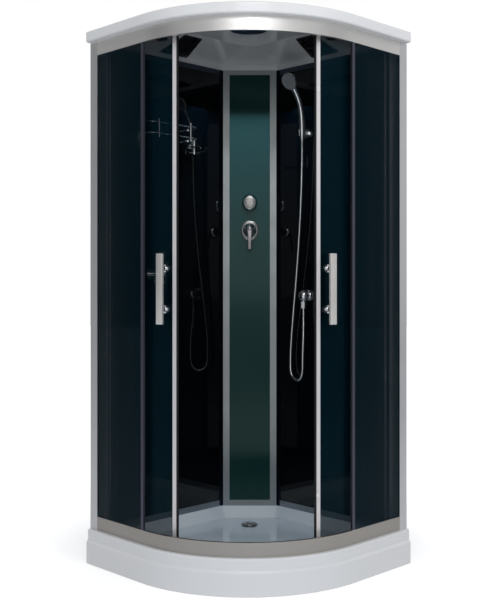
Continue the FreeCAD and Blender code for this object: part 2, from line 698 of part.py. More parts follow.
def on_ceiling(shape, along_wall=True):
    """Carry a piece from the panel's own frame (x up the slope, y along the wall) to the ceiling."""
    angle = math.degrees(vent_slope())
    height = CEILING_RIM + (VENT_OUT - SLOPE_WALL) * math.tan(vent_slope())
    moved = shape.copy()
    moved.rotate(ORIGIN, V(0, 1, 0), -angle)
    moved.translate(V(VENT_OUT, VENT_ALONG, height))
    return moved


def make_vent_panel(round_opening):
    """A black panel: slats in its lower part, and a round guard or more slats in its upper part."""
    half = VENT_WIDTH / 2.0
    corners = [V(-half, -VENT_NEAR, -VENT_THICK), V(half, VENT_SLANT - VENT_NEAR, -VENT_THICK),
               V(half, VENT_FAR, -VENT_THICK), V(-half, VENT_FAR, -VENT_THICK)]
    plate = Part.Face(Part.makePolygon(corners + corners[:1])).extrude(V(0, 0, VENT_THICK - CLEAR))
    guard = V((FAN_OUT - VENT_OUT) / math.cos(vent_slope()), FAN_ALONG - VENT_ALONG, 0)
    openings = []

    def slats(first, count):
        for i in range(count):
            x = first + 9.0 * i
            start = VENT_SLANT * (x + half) / VENT_WIDTH - VENT_NEAR + 16.0
            openings.append(box(x, x + 4.5, start, VENT_FAR - 14.0, -VENT_THICK - 1, 1))

    slats(-68.0, 6)
    if round_opening:
        for i in range(3):
            outer = 14.0 + 9.0 * (i + 1)
            washer = ring(outer, outer - 5.5, V(0, 0, -VENT_THICK - 1), V(0, 0, 1))
            spokes = [box(-60, 60, -2, 2, -VENT_THICK - 2, 2), box(-2, 2, -60, 60, -VENT_THICK - 2, 2)]
            piece = cut(washer, spokes)
            piece.translate(guard)
            openings.append(piece)
    else:
        slats(4.0, 8)
    return on_ceiling(cut(plate, openings))


def above_slope():
    """Everything above the sloping ceiling beside the right wall, for trimming upright pieces."""
    block = box(-400, 400, -400, 400, CLEAR, 400)
    return on_ceiling(block)


FAN_TOP = TOTAL_HEIGHT


def make_fan_housing():
    centre = V(FAN_OUT, FAN_ALONG, 0)
    low = CEILING_RIM
    tube = ring(FAN_RADIUS, FAN_RADIUS - 3.0, V(0, 0, low), V(0, 0, FAN_TOP))
    collar = ring(FAN_RADIUS + 8.0, FAN_RADIUS - 1.0, V(0, 0, FAN_TOP - 56.0), V(0, 0, FAN_TOP - 52.0))
    motor = cylinder(18.0, V(0, 0, FAN_TOP - 34.0), V(0, 0, FAN_TOP - 4.0))
    arms = [box(-FAN_RADIUS + 2.0, FAN_RADIUS - 2.0, -3, 3, FAN_TOP - 12.0, FAN_TOP - 6.0),
            box(-3, 3, -FAN_RADIUS + 2.0, FAN_RADIUS - 2.0, FAN_TOP - 12.0, FAN_TOP - 6.0)]
    shaft = cylinder(2.5, V(0, 0, FAN_TOP - 62.0), V(0, 0, FAN_TOP - 33.0))
    body = fuse([tube, collar, motor, shaft] + arms)
    body.translate(centre)
    return body.common(above_slope())


def make_fan_rotor():
    hub_low, hub_high = FAN_TOP - 60.0, FAN_TOP - 38.0
    hub = cylinder(13.0, V(0, 0, hub_low), V(0, 0, hub_high))
    blades = []
    for i in range(7):
        blade = box(11.0, FAN_RADIUS - 6.0, -0.9, 0.9, -9.0, 9.0)
        blade.rotate(ORIGIN, V(1, 0, 0), 50.0)
        blade.rotate(ORIGIN, UP, 360.0 * i / 7)
        blade.translate(V(0, 0, (hub_low + hub_high) / 2.0))
        blades.append(blade)
    rotor = fuse([hub] + blades)
    rotor = rotor.cut(cylinder(2.5 + RUNNING_GAP, V(0, 0, 0), V(0, 0, TOTAL_HEIGHT)))
    rotor.translate(V(FAN_OUT, FAN_ALONG, 0))
    return rotor


def make_speaker():
    """The loudspeaker above the left panel: frame, cone and magnet in one block."""
    low = CEILING_RIM
    rim = ring(FAN_RADIUS, FAN_RADIUS - 4.0, V(0, 0, low), V(0, 0, CEILING_TOP + 16.0))
    chassis = cone(FAN_RADIUS - 2.0, 20.0, V(0, 0, CEILING_TOP + 12.0), V(0, 0, CEILING_TOP + 32.0))
    inside = cone(FAN_RADIUS - 4.0, 14.0, V(0, 0, CEILING_TOP + 8.0), V(0, 0, CEILING_TOP + 26.0))
    magnet = cylinder(24.0, V(0, 0, CEILING_TOP + 31.0), V(0, 0, CEILING_TOP + 44.0))
    body = fuse([rim, chassis, magnet]).cut(inside)
    body.translate(V(FAN_OUT, FAN_ALONG, 0))
    return body.common(above_slope())


def make_overhead_shower():
    centre = OVERHEAD_DISTANCE / ROOT2
    low = CEILING_TOP - OVERHEAD_THICK
    disc = cylinder(OVERHEAD_RADIUS, V(0, 0, low), V(0, 0, CEILING_TOP - CLEAR))
    recess = cylinder(OVERHEAD_RADIUS - 5.0, V(0, 0, low - 1), V(0, 0, low + 3.0))
    teeth = []
    for i in range(36):
        angle = math.radians(10.0 * i)
        at = V(OVERHEAD_RADIUS * math.cos(angle), OVERHEAD_RADIUS * math.sin(angle), low)
        teeth.append(cylinder(2.2, at, at.add(V(0, 0, 5.0))))
    stem = cylinder(10.3, V(0, 0, low + 4.0), V(0, 0, CEILING_TOP + ROOF_WALL + 22.0))
    body = fuse([disc, stem] + teeth).cut(recess)
    body.translate(V(centre, centre, 0))
    return body


def make_overhead_face():
    centre = OVERHEAD_DISTANCE / ROOT2
    low = CEILING_TOP - OVERHEAD_THICK
    face = cylinder(OVERHEAD_RADIUS - 5.0 - CLEAR, V(0, 0, low + 0.5), V(0, 0, low + 3.0))
    nozzles = []
    for count, radius in ((6, 16.0), (12, 36.0), (20, 56.0)):
        for i in range(count):
            angle = 2 * math.pi * i / count
            at = V(radius * math.cos(angle), radius * math.sin(angle), low - 1.5)
            nozzles.append(cylinder(1.6, at, at.add(V(0, 0, 3.0))))
    body = fuse([face] + nozzles)
    body.translate(V(centre, centre, 0))
    return body


# ---- valves and pipes ----------------------------------------------------------------------------
PIPE_RADIUS = 7.0
PIPE_BEND = 30.0
RISER_DISTANCE = 112.0
VALVE_DEPTH = PILLAR_DISTANCE - RISER_DISTANCE  # valve bodies behind the pillar face


def make_mixer_valve():
    z = MIXER_HEIGHT
    behind = -VALVE_DEPTH
    barrel = cylinder(17.0, pillar_point(-50, behind, z), pillar_point(50, behind, z))
    body = cylinder(21.0, pillar_point(0, behind - 14.0, z), pillar_point(0, -PANEL_THICK - CLEAR, z))
    socket = cylinder(16.0 + CLEAR, pillar_point(0, -24.0, z), pillar_point(0, 1, z))
    stubs = []
    for side in (-1, 1):
        x = 36.0 * side
        y = PILLAR_Y + VALVE_DEPTH
        inlet = fuse([
            box(x - 13.0, x + 13.0, y + 5.0, y + 20.0, z - 13.0, z + 13.0),
            cylinder(INLET_RADIUS - 1.0, pillar_point(x, behind - 19.0, z), pillar_point(x, behind - 22.0, z)),
            cylinder(INLET_RADIUS, pillar_point(x, behind - 21.0, z),
                     pillar_point(x, behind - 21.0 - INLET_LENGTH, z)),
        ])
        stubs.append(inlet)
    riser = cylinder(PIPE_RADIUS + 3.0, pillar_point(0, behind, z), pillar_point(0, behind, z + 32.0))
    return fuse([barrel, body, riser] + stubs).cut(socket)


def make_diverter_valve():
    z = DIVERTER_HEIGHT
    behind = -VALVE_DEPTH
    body = cylinder(18.0, pillar_point(0, behind, z - 24.0), pillar_point(0, behind, z + 24.0))
    nose = cylinder(13.0, pillar_point(0, behind, z), pillar_point(0, -PANEL_THICK - CLEAR, z))
    side = cylinder(PIPE_RADIUS + 3.0, pillar_point(0, behind, z), pillar_point(30.0, behind, z))
    socket = cylinder(5.0 + RUNNING_GAP, pillar_point(0, -22.0, z), pillar_point(0, 1, z))
    return fuse([body, nose, side]).cut(socket)


def make_supply_pipes():
    """Rigid pipes: mixer to diverter, diverter to the overhead shower, diverter to the wall outlet."""
    behind = -VALVE_DEPTH
    y = PILLAR_Y + VALVE_DEPTH
    link = cylinder(PIPE_RADIUS, V(0, y, MIXER_HEIGHT + 32.0), V(0, y, DIVERTER_HEIGHT - 24.0))
    over = CEILING_TOP + ROOF_WALL + 30.0
    end_y = CORNER_Y - OVERHEAD_DISTANCE
    riser = pipe([V(0, y, DIVERTER_HEIGHT + 24.0), V(0, y, over), V(0, end_y + 10.0, over)], PIPE_RADIUS, PIPE_BEND)
    elbow = cylinder(14.0, V(0, end_y, over - 14.0), V(0, end_y, over + 12.0))
    elbow = elbow.cut(cylinder(10.3 + CLEAR, V(0, end_y, over - 15.0), V(0, end_y, CEILING_TOP + ROOF_WALL + 22.3)))
    start = pillar_point(30.0, behind, DIVERTER_HEIGHT)
    wall_run = in_part_frame(Part.Vertex(V(11.0, OUTLET_ALONG, OUTLET_HEIGHT))).Point
    turn = in_part_frame(Part.Vertex(V(11.0, 150.0, DIVERTER_HEIGHT))).Point
    above = V(wall_run.x, wall_run.y, DIVERTER_HEIGHT)
    feed = pipe([start, start.add(V(25.0, 0, 0)), turn, above, wall_run], PIPE_RADIUS, PIPE_BEND)
    return Part.makeCompound([link, fuse([riser, elbow]), feed])


def ellipse_disc(half_wide, half_high, depth0, depth1, height):
    """An upright elliptical plate on the pillar, in the part's frame."""
    curve = Part.Ellipse(V(0, 0, 0), half_high, half_wide)
    wire = Part.Wire([curve.toShape()])
    face = Part.Face(wire)
    face.rotate(ORIGIN, UP, 90.0)
    face.rotate(ORIGIN, V(1, 0, 0), 90.0)
    face.translate(pillar_point(0, depth0, height))
    return face.extrude(V(0, depth0 - depth1, 0))


def ellipse_wire(half_wide, half_high, depth, height):
    wire = Part.Wire([Part.Ellipse(V(0, 0, 0), half_high, half_wide).toShape()])
    wire.rotate(ORIGIN, UP, 90.0)
    wire.rotate(ORIGIN, V(1, 0, 0), 90.0)
    wire.translate(pillar_point(0, depth, height))
    return wire


def make_escutcheon():
    z = MIXER_HEIGHT
    plate = ellipse_disc(39.0, 43.0, 0.0, 2.0, z)
    crown = Part.makeLoft([ellipse_wire(39.0, 43.0, 2.0, z), ellipse_wire(33.0, 36.0, ESCUTCHEON_THICK, z)],
                          True, True)
    hole = cylinder(16.0 + CLEAR, pillar_point(0, -1, z), pillar_point(0, 10, z))
    return fuse([plate, crown]).cut(hole)


def hub_centre():
    return pillar_point(0, 24.0, MIXER_HEIGHT)


def make_mixer_cartridge():
    """The cartridge with its ball-ended stem: it turns with the lever to set the temperature."""
    sleeve = cylinder(16.0, pillar_point(0, -23.7, MIXER_HEIGHT), pillar_point(0, 12.0, MIXER_HEIGHT))
    ball = Part.makeSphere(HUB_CAVITY - CLEAR, hub_centre())
    keep = box(-40, 40, PILLAR_Y - 80.0, PILLAR_Y - 9.0, MIXER_HEIGHT - 40.0, MIXER_HEIGHT + 40.0)
    return fuse([sleeve, ball.common(keep)])


def make_mixer_lever():
    """Domed hub with the paddle lever that hangs from its front."""
    centre = hub_centre()
    dome = Part.makeSphere(HUB_RADIUS, centre)
    front = box(-60, 60, centre.y - 60.0, centre.y - 2.0, MIXER_HEIGHT - 60.0, MIXER_HEIGHT + 60.0)
    dome = dome.common(front)
    profile = [(33.0, 23.0), (44.0, 20.0), (55.0, 4.0), (64.0, -30.0), (70.0, -86.0), (62.0, -86.0),
               (56.0, -34.0), (48.0, -12.0), (40.0, -8.0)]
    half = LEVER_WIDTH / 2.0
    points = [pillar_point(-half, depth, MIXER_HEIGHT + rise) for depth, rise in profile]
    points.append(points[0])
    paddle = Part.Face(Part.makePolygon(points)).extrude(V(LEVER_WIDTH, 0, 0))
    cavity = Part.makeSphere(HUB_CAVITY, centre)
    return fuse([dome, paddle]).cut(cavity)


def make_diverter_knob():
    z = DIVERTER_HEIGHT
    skirt = Part.makeLoft([ellipse_wire(33.5, 38.0, 1.0, z), ellipse_wire(33.0, 37.4, 14.0, z)], True, True)
    bevel = Part.makeLoft([ellipse_wire(33.0, 37.4, 14.0, z), ellipse_wire(23.5, 26.5, 26.0, z)], True, True)
    stem = cylinder(5.0, pillar_point(0, -20.0, z), pillar_point(0, 2.0, z))
    flat = box(-40, 40, PILLAR_Y - 60.0, PILLAR_Y + 0.0, z - 60.0, z - 35.0)
    return fuse([fuse([skirt, bevel]).cut(flat), stem])


# ---- hand shower, hose and wall outlet --------------------------------------------------------------
def hose_points():
    """Route of the hose from the handset down, along its loop and up to the wall outlet."""
    drop = HOLDER_HEIGHT - OUTLET_HEIGHT
    return [
        V(SHOWER_OUT, SHOWER_ALONG, HOLDER_HEIGHT - 26.0),
        V(SHOWER_OUT, SHOWER_ALONG, OUTLET_HEIGHT + 0.8755 * drop),
        V(57.4, 372.3, OUTLET_HEIGHT + 0.7598 * drop),
        V(56.1, 367.5, OUTLET_HEIGHT + 0.615 * drop),
        V(53.8, 358.5, OUTLET_HEIGHT + 0.4486 * drop),
        V(50.6, 344.5, OUTLET_HEIGHT + 0.2605 * drop),
        V(46.6, 327.5, OUTLET_HEIGHT + 0.0724 * drop),
        V(42.9, 310.0, OUTLET_HEIGHT - 70.0),
        V(40.3, 297.0, OUTLET_HEIGHT - 170.0),
        V(39.2, 289.5, OUTLET_HEIGHT - 255.0),
        V(42.5, 291.0, OUTLET_HEIGHT - 332.0),
        V(50.0, 319.0, OUTLET_HEIGHT - 360.0),
        V(59.0, 357.0, OUTLET_HEIGHT - 362.0),
        V(65.0, 383.0, OUTLET_HEIGHT - 335.0),
        V(67.0, 386.0, OUTLET_HEIGHT - 267.0),
        V(62.5, 385.0, OUTLET_HEIGHT - 185.0),
        V(OUTLET_OUT, OUTLET_ALONG, OUTLET_HEIGHT - 110.0),
        V(OUTLET_OUT, OUTLET_ALONG, OUTLET_HEIGHT - 48.0),
    ]


def hose_route():
    points = hose_points()
    wire, radii = arc_wire(points)
    print("hose length %.1f mm" % wire.Length)
    print("hose bend radii", " ".join("%.0f" % r for r in radii))
    return wire


def hose_section(edges, distance, radius):
    """Circle across the hose at a distance along its route, on a steady X axis."""
    index = 0
    while index < len(edges) - 1 and distance > edges[index].Length:
        distance -= edges[index].Length
        index += 1
    edge = edges[index]
    parameter = edge.getParameterByLength(min(distance, edge.Length))
    along = edge.tangentAt(parameter)
    circle = Part.Circle(edge.valueAt(parameter), along, radius)
    circle.XAxis = HOSE_STEADY.sub(V(along).multiply(HOSE_STEADY.dot(along))).normalize()
    return Part.Wire([circle.toShape()])


def make_hose():
    """Ribbed metal hose: a bore and even ribs, each rib a ruled loft of two cones and two flats."""
    wire = hose_route()
    edges = wire.OrderedEdges
    plain = 2.0 * HOSE_RADIUS
    pitch = (wire.Length - 2.0 * plain) / (HOSE_SPANS * RIBS_PER_SPAN)
    low = HOSE_RADIUS - HOSE_RIB_DEPTH
    form = [(0.0, low), (0.2, HOSE_RADIUS), (0.65, HOSE_RADIUS), (0.85, low)]
    spans = []
    for span in range(HOSE_SPANS):
        first = span * RIBS_PER_SPAN
        stations = [(plain + pitch * (first + i + share), radius)
                    for i in range(RIBS_PER_SPAN) for share, radius in form]
        stations.append((plain + pitch * (first + RIBS_PER_SPAN), low))
        if span == 0:
            stations.insert(0, (0.0, low))
        if span == HOSE_SPANS - 1:
            stations.append((wire.Length, low))
        sections = [hose_section(edges, distance, radius) for distance, radius in stations]
        spans.append(Part.makeLoft(sections, True, True))
    outside = spans[0].multiFuse(spans[1:])
    points = hose_points()
    first = points[0].add(points[0].sub(points[1]).normalize())
    last = points[-1].add(points[-1].sub(points[-2]).normalize())
    hose = outside.cut(pipe([first] + points[1:-1] + [last], HOSE_BORE))
    mean = low + HOSE_RIB_DEPTH * 0.65
    print("hose volume / (section * length) %.3f" % (
        hose.Volume / (math.pi * (mean ** 2 - HOSE_BORE ** 2) * wire.Length)))
    return hose


def make_hose_nuts():
    """The cone nut under the handset and the hexagon nut at the wall outlet."""
    points = hose_points()
    upper = cone(10.0, 8.6, V(SHOWER_OUT, SHOWER_ALONG, HOLDER_HEIGHT - 15.0), points[0].add(V(0, 0, -6.0)))
    upper = upper.cut(cylinder(HOSE_RADIUS + 0.0, points[0].add(V(0, 0, -7.0)), points[0]))
    end = points[-1]
    top = OUTLET_HEIGHT - 26.0
    lower = hexagon(23.0, V(end.x, end.y, end.z - 6.0), top - end.z + 6.0)
    lower = lower.cut(cylinder(HOSE_RADIUS, end.add(V(0, 0, -7.0)), end))
    return upper, lower


def make_wall_outlet():
    """Round wall flange and a ball on a short neck, whose nipple points down."""
    along, z = OUTLET_ALONG, OUTLET_HEIGHT
    flange = cylinder(27.5, V(WALL_FACE, along, z), V(WALL_FACE + 5.0, along, z))
    neck = cylinder(13.0, V(WALL_FACE + 4.0, along, z), V(OUTLET_OUT, along, z))
    ball = Part.makeSphere(24.0, V(OUTLET_OUT - 3.5, along, z))
    nipple = cylinder(9.5, V(OUTLET_OUT, along, OUTLET_HEIGHT - 26.0), V(OUTLET_OUT, along, z))
    tail = cylinder(5.5, V(11.0 + PIPE_RADIUS + CLEAR, along, z), V(WALL_FACE + 2.0, along, z))
    return fuse([flange, neck, ball, nipple, tail])


def cradle_pivot():
    return V(WALL_FACE + 13.0, SHOWER_ALONG, HOLDER_HEIGHT)


def make_wall_bracket():
    """Wall plate with two ears and the pivot pin between them."""
    pivot = cradle_pivot()
    y, z = pivot.y, pivot.z
    plate = cylinder(20.0, V(WALL_FACE, y, z), V(WALL_FACE + 4.0, y, z))
    ears = []
    for side in (-1, 1):
        y0 = y + side * 9.0
        block = box(WALL_FACE + 3.0, pivot.x, min(y0, y0 + side * 4.0), max(y0, y0 + side * 4.0), z - 5.0, z + 5.0)
        eye = cylinder(5.0, V(pivot.x, y0, z), V(pivot.x, y0 + side * 4.0, z))
        ears += [block, eye]
    pin = cylinder(3.0, V(pivot.x, y - 11.0, z), V(pivot.x, y + 11.0, z))
    return fuse([plate, pin] + ears)


def make_cradle():
    """Tapered cup with a front slot for the hose, on a knuckle that swings in the wall bracket."""
    pivot = cradle_pivot()
    y, z = pivot.y, pivot.z
    x = SHOWER_OUT
    cup = cone(14.5, 17.0, V(x, y, z - 13.0), V(x, y, z + 13.0))
    bore = cone(11.0, 12.4, V(x, y, z - 13.0), V(x, y, z + 13.0))
    slot = box(x, x + 30.0, y - HOSE_RADIUS - 1.0, y + HOSE_RADIUS + 1.0, z - 20.0, z + 20.0)
    knuckle = cylinder(6.6, V(pivot.x, y - 8.7, z), V(pivot.x, y + 8.7, z))
    neck = box(pivot.x, x - 8.0, y - 8.7, y + 8.7, z - 6.0, z + 6.0)
    pin_hole = cylinder(3.0 + RUNNING_GAP, V(pivot.x, y - 12.0, z), V(pivot.x, y + 12.0, z))
    solid_cup = cup.fuse([knuckle, neck])
    return solid_cup.cut(Part.makeCompound([bore, slot, pin_hole])).removeSplitter()


def head_centre():
    return V(142.0, SHOWER_ALONG, HOLDER_HEIGHT + 203.0)


def head_normal():
    tilt = math.radians(HEAD_TILT)
    return V(math.cos(tilt), 0, -math.sin(tilt))


def circle_at(centre, direction, radius):
    circle = Part.Circle(centre, direction, radius)
    return Part.Wire([circle.toShape()])


def make_handset():
    """Handle with its taper for the cradle, bent neck and domed head."""
    y = SHOWER_ALONG
    z = HOLDER_HEIGHT
    x = SHOWER_OUT
    taper = cone(10.6, 12.0, V(x, y, z - 15.0), V(x, y, z + 13.0))
    shoulder = cone(12.0, 13.0, V(x, y, z + 13.0), V(x, y, z + 24.0))
    stations = [
        (V(x, y, z + 24.0), V(0, 0, 1), 13.0),
        (V(x + 1.5, y, z + 55.0), V(0.09, 0, 1), 13.2),
        (V(x + 6.5, y, z + 95.0), V(0.16, 0, 1), 12.4),
        (V(x + 15.0, y, z + 130.0), V(0.34, 0, 1), 11.6),
        (V(x + 29.0, y, z + 158.0), V(0.60, 0, 1), 12.0),
        (V(x + 46.0, y, z + 180.0), V(0.85, 0, 1), 14.0),
        (V(x + 62.0, y, z + 197.0), V(1.0, 0, 0.9), 16.0),
    ]
    handle = Part.makeLoft([circle_at(c, d, r) for c, d, r in stations], True, False)
    centre = head_centre()
    out = head_normal()
    back = V(out).multiply(-1.0)
    rim = cylinder(HEAD_RADIUS, centre.add(V(back).multiply(9.0)), centre)
    dome = cone(21.0, HEAD_RADIUS, centre.add(V(back).multiply(24.0)), centre.add(V(back).multiply(8.9)))
    recess = cylinder(HEAD_RADIUS - 4.0, centre.add(V(back).multiply(3.0)), centre.add(out))
    grip = taper.fuse(shoulder).fuse(handle)
    return rim.fuse(dome).fuse(grip).removeSplitter().cut(recess)


def make_handset_face():
    centre = head_centre()
    out = head_normal()
    back = V(out).multiply(-1.0)
    face = cylinder(HEAD_RADIUS - 4.0 - CLEAR, centre.add(V(back).multiply(2.7)), centre.add(V(out).multiply(0.6)))
    across = V(0, 1, 0)
    upward = out.cross(across)
    nozzles = []
    for count, radius in ((6, 9.0), (14, 24.0)):
        for i in range(count):
            angle = 2 * math.pi * i / count
            at = centre.add(V(across).multiply(radius * math.cos(angle)))
            at = at.add(V(upward).multiply(radius * math.sin(angle)))
            nozzles.append(cylinder(1.2, at, at.add(V(out).multiply(1.8))))
    return fuse([face] + nozzles)


# ---- shelf and tumbler ----------------------------------------------------------------------------
def make_shelf_glass():
    """Glass plate with its two front corners rounded, drawn beside the right wall then swapped over."""
    start = SHELF_CENTRE - SHELF_LENGTH / 2.0
    end = SHELF_CENTRE + SHELF_LENGTH / 2.0
    near, far = WALL_FACE + 4.0, WALL_FACE + SHELF_DEPTH
    corners = [(near, start, 0.0), (far, start, 38.0), (far, end, 38.0), (near, end, 0.0)]
    plate = prism(rounded_wire(corners, SHELF_HEIGHT - SHELF_GLASS), SHELF_GLASS)
    holes = []
    for side in (-1, 1):
        at = V(WALL_FACE + 22.0, SHELF_CENTRE + side * BRACKET_HALF, 0)
        holes.append(cylinder(3.0 + CLEAR, at, at.add(V(0, 0, TOTAL_HEIGHT))))
    return cut(plate, holes)


def shelf_bracket(along):
    z = SHELF_HEIGHT
    plate = cylinder(12.0, V(WALL_FACE, along, z + 22.0), V(WALL_FACE + 3.0, along, z + 22.0))
    arm = cylinder(7.0, V(WALL_FACE + 2.0, along, z + 22.0), V(WALL_FACE + 26.0, along, z + 22.0))
    post = cylinder(8.0, V(WALL_FACE + 22.0, along, z + CLEAR), V(WALL_FACE + 22.0, along, z + 44.0))
    foot = cylinder(8.0, V(WALL_FACE + 22.0, along, z - SHELF_GLASS - 9.0),
                    V(WALL_FACE + 22.0, along, z - SHELF_GLASS - CLEAR))
    bolt = cylinder(3.0, V(WALL_FACE + 22.0, along, z - SHELF_GLASS - 1.0), V(WALL_FACE + 22.0, along, z + 1.0))
    return fuse([plate, arm, post, foot, bolt])


BRACKET_HALF = 148.0


def make_shelf_brackets():
    return Part.makeCompound([shelf_bracket(SHELF_CENTRE - BRACKET_HALF), shelf_bracket(SHELF_CENTRE + BRACKET_HALF)])


def make_shelf_gallery():
    """Two bent rods round the shelf's front, with small wall roses and two ball-ended posts."""
    pieces = []
    for z in (GALLERY_LOW, GALLERY_HIGH):
        start, end = SHELF_CENTRE - GALLERY_HALF, SHELF_CENTRE + GALLERY_HALF
        bend = 18.0
        out = WALL_FACE + GALLERY_OUT - 25.0
        route = [V(WALL_FACE + 1.0, start, z), V(out - bend, start, z), V(out, start + bend, z),
                 V(out, end - bend, z), V(out - bend, end, z), V(WALL_FACE + 1.0, end, z)]
        pieces.append(pipe(route, ROD_RADIUS))
        for y in (start, end):
            pieces.append(cylinder(7.0, V(WALL_FACE, y, z), V(WALL_FACE + 4.0, y, z)))
    for side in (-1, 1):
        y = SHELF_CENTRE + side * 84.0
        out = WALL_FACE + GALLERY_OUT - 25.0
        pieces.append(cylinder(3.4, V(out, y, GALLERY_LOW - 12.0), V(out, y, GALLERY_HIGH + 12.0)))
        pieces.append(Part.makeSphere(4.6, V(out, y, GALLERY_LOW - 12.0)))
        pieces.append(Part.makeSphere(4.6, V(out, y, GALLERY_HIGH + 12.0)))
    return fuse(pieces)


def make_tumbler():
    base = TUMBLER_TOP - TUMBLER_HEIGHT
    low_radius = TUMBLER_RADIUS - 3.5
    at = V(TUMBLER_OUT, TUMBLER_ALONG, base)
    top = V(TUMBLER_OUT, TUMBLER_ALONG, TUMBLER_TOP)
    cup = cone(low_radius, TUMBLER_RADIUS, at, top)
    bowl = cone(low_radius - TUMBLER_WALL, TUMBLER_RADIUS - TUMBLER_WALL, at.add(V(0, 0, 7.0)), top.add(V(0, 0, 0.01)))
    return cup.cut(bowl)


def tumbler_radius_at(height):
    share = (height - (TUMBLER_TOP - TUMBLER_HEIGHT)) / TUMBLER_HEIGHT
    return TUMBLER_RADIUS - 3.5 + 3.5 * share


def make_tumbler_holder():
    """Wall rose and arm with a ring round the tumbler and a small plate under it."""
    base = TUMBLER_TOP - TUMBLER_HEIGHT
    ring_z = base + 30.0
    inner = tumbler_radius_at(ring_z + 4.0) + CLEAR
    along, out = TUMBLER_ALONG, TUMBLER_OUT
    hoop = ring(inner + 5.0, inner, V(out, along, ring_z - 4.0), V(out, along, ring_z + 4.0))
    rose = cylinder(22.0, V(WALL_FACE, along, ring_z), V(WALL_FACE + 6.0, along, ring_z))
    stem = cylinder(7.0, V(WALL_FACE + 5.0, along, ring_z), V(out - inner - 1.0, along, ring_z))
    tray = cylinder(inner + 3.0, V(out, along, base - 4.5), V(out, along, base - CLEAR))
    strap = box(out - inner - 5.0, out - inner - 1.0, along - 6.0, along + 6.0, base - 4.5, ring_z)
    return fuse([hoop, rose, stem, strap, tray])


# ---- doors ------------------------------------------------------------------------------------------
def track_point(distance, radius):
    """A point on the right door's track, measured from the middle of the front at the door's radius."""
    if distance <= DOOR_ARC:
        angle = math.pi / 4.0 + distance / DOOR_RADIUS
        return V(ARC_CENTRE + radius * math.cos(angle), ARC_CENTRE + radius * math.sin(angle), 0)
    return V(ARC_CENTRE - (distance - DOOR_ARC), ARC_CENTRE + radius, 0)


def curved_plate(set0, set1, start, end, z0, z1):
    """A plate that follows the shut door's line between two set-backs and two distances."""
    wide, narrow = FRONT_RADIUS - set0, FRONT_RADIUS - set1
    bend_end = min(end, DOOR_ARC)
    middle = (start + bend_end) / 2.0
    outer = [track_point(d, wide) for d in (start, middle, bend_end)]
    inner = [track_point(d, narrow) for d in (start, middle, bend_end)]
    edges = [Part.Arc(*outer).toShape()]
    if end > DOOR_ARC + 1e-6:
        tip_out, tip_in = track_point(end, wide), track_point(end, narrow)
        edges.append(Part.LineSegment(outer[2], tip_out).toShape())
        edges.append(Part.LineSegment(tip_out, tip_in).toShape())
        edges.append(Part.LineSegment(tip_in, inner[2]).toShape())
    else:
        edges.append(Part.LineSegment(outer[2], inner[2]).toShape())
    edges.append(Part.Arc(*reversed(inner)).toShape())
    edges.append(Part.LineSegment(inner[0], outer[0]).toShape())
    face = Part.Face(Part.Wire(edges))
    face.translate(V(0, 0, z0))
    return face.extrude(V(0, 0, z1 - z0))


def straight_plate(set0, set1, start, end, z0, z1):
    """The same on the straight tail of the door."""
    x0 = ARC_CENTRE - (end - DOOR_ARC)
    x1 = ARC_CENTRE - (start - DOOR_ARC)
    return box(x0, x1, SIDE - set1, SIDE - set0, z0, z1)


def radial_point(distance, setback, height):
    point = track_point(distance, FRONT_RADIUS - setback)
    return V(point.x, point.y, height)


def tangent_box(distance, half_width, set0, set1, z0, z1):
    """A block whose sides are square to the door's line at one distance."""
    centre = track_point(distance, FRONT_RADIUS)
    inward = track_point(distance, FRONT_RADIUS - 1.0).sub(centre)
    block = Part.makeBox(2 * half_width, set1 - set0, z1 - z0, V(-half_width, set0, z0))
    block.rotate(ORIGIN, UP, math.degrees(math.atan2(inward.y, inward.x)) - 90.0)
    block.translate(centre)
    return block


def door_tip():
    return MEET_GAP


GLASS_START = SEAL_WIDTH + 4.0
ROLLERS = (GLASS_START + ROLLER_INSET, DOOR_LENGTH - ROLLER_INSET)


def door_glass():
    half = GLASS / 2.0
    plate = curved_plate(DOOR_SETBACK - half, DOOR_SETBACK + half, GLASS_START, DOOR_LENGTH - 2.0, DOOR_BOTTOM,
                         DOOR_TOP)
    holes = []
    for z in handle_heights():
        holes.append(cylinder(5.0 + CLEAR, radial_point(HANDLE_OFFSET, DOOR_SETBACK - 20, z),
                              radial_point(HANDLE_OFFSET, DOOR_SETBACK + 20, z)))
    return cut(plate, holes)


def door_edges():
    """The bright leading profile and the slim rear profile, each with the glass in its groove."""
    half = EDGE_THICK / 2.0
    thin = REAR_EDGE_THICK / 2.0
    gap = GLASS / 2.0 + SLOT_GAP
    lead = curved_plate(DOOR_SETBACK - half, DOOR_SETBACK + half, SEAL_WIDTH, SEAL_WIDTH + EDGE_WIDTH,
                        DOOR_BOTTOM, DOOR_TOP)
    lead_slot = curved_plate(DOOR_SETBACK - gap, DOOR_SETBACK + gap, GLASS_START - 0.3, DOOR_ARC - 10.0,
                             DOOR_BOTTOM - 1, DOOR_TOP + 1)
    rear = straight_plate(DOOR_SETBACK - thin, DOOR_SETBACK + thin, DOOR_LENGTH - REAR_EDGE_WIDTH, DOOR_LENGTH,
                          DOOR_BOTTOM, DOOR_TOP)
    rear_slot = straight_plate(DOOR_SETBACK - gap, DOOR_SETBACK + gap, DOOR_ARC, DOOR_LENGTH - 1.7,
                               DOOR_BOTTOM - 1, DOOR_TOP + 1)
    return Part.makeCompound([lead.cut(lead_slot), rear.cut(rear_slot)])


def door_seal():
    half = SEAL_THICK / 2.0
    block = curved_plate(DOOR_SETBACK - half, DOOR_SETBACK + half, door_tip(), SEAL_WIDTH, DOOR_BOTTOM, DOOR_TOP)
    return block


def handle_heights():
    return (HANDLE_HEIGHT - HANDLE_PITCH / 2.0, HANDLE_HEIGHT + HANDLE_PITCH / 2.0)


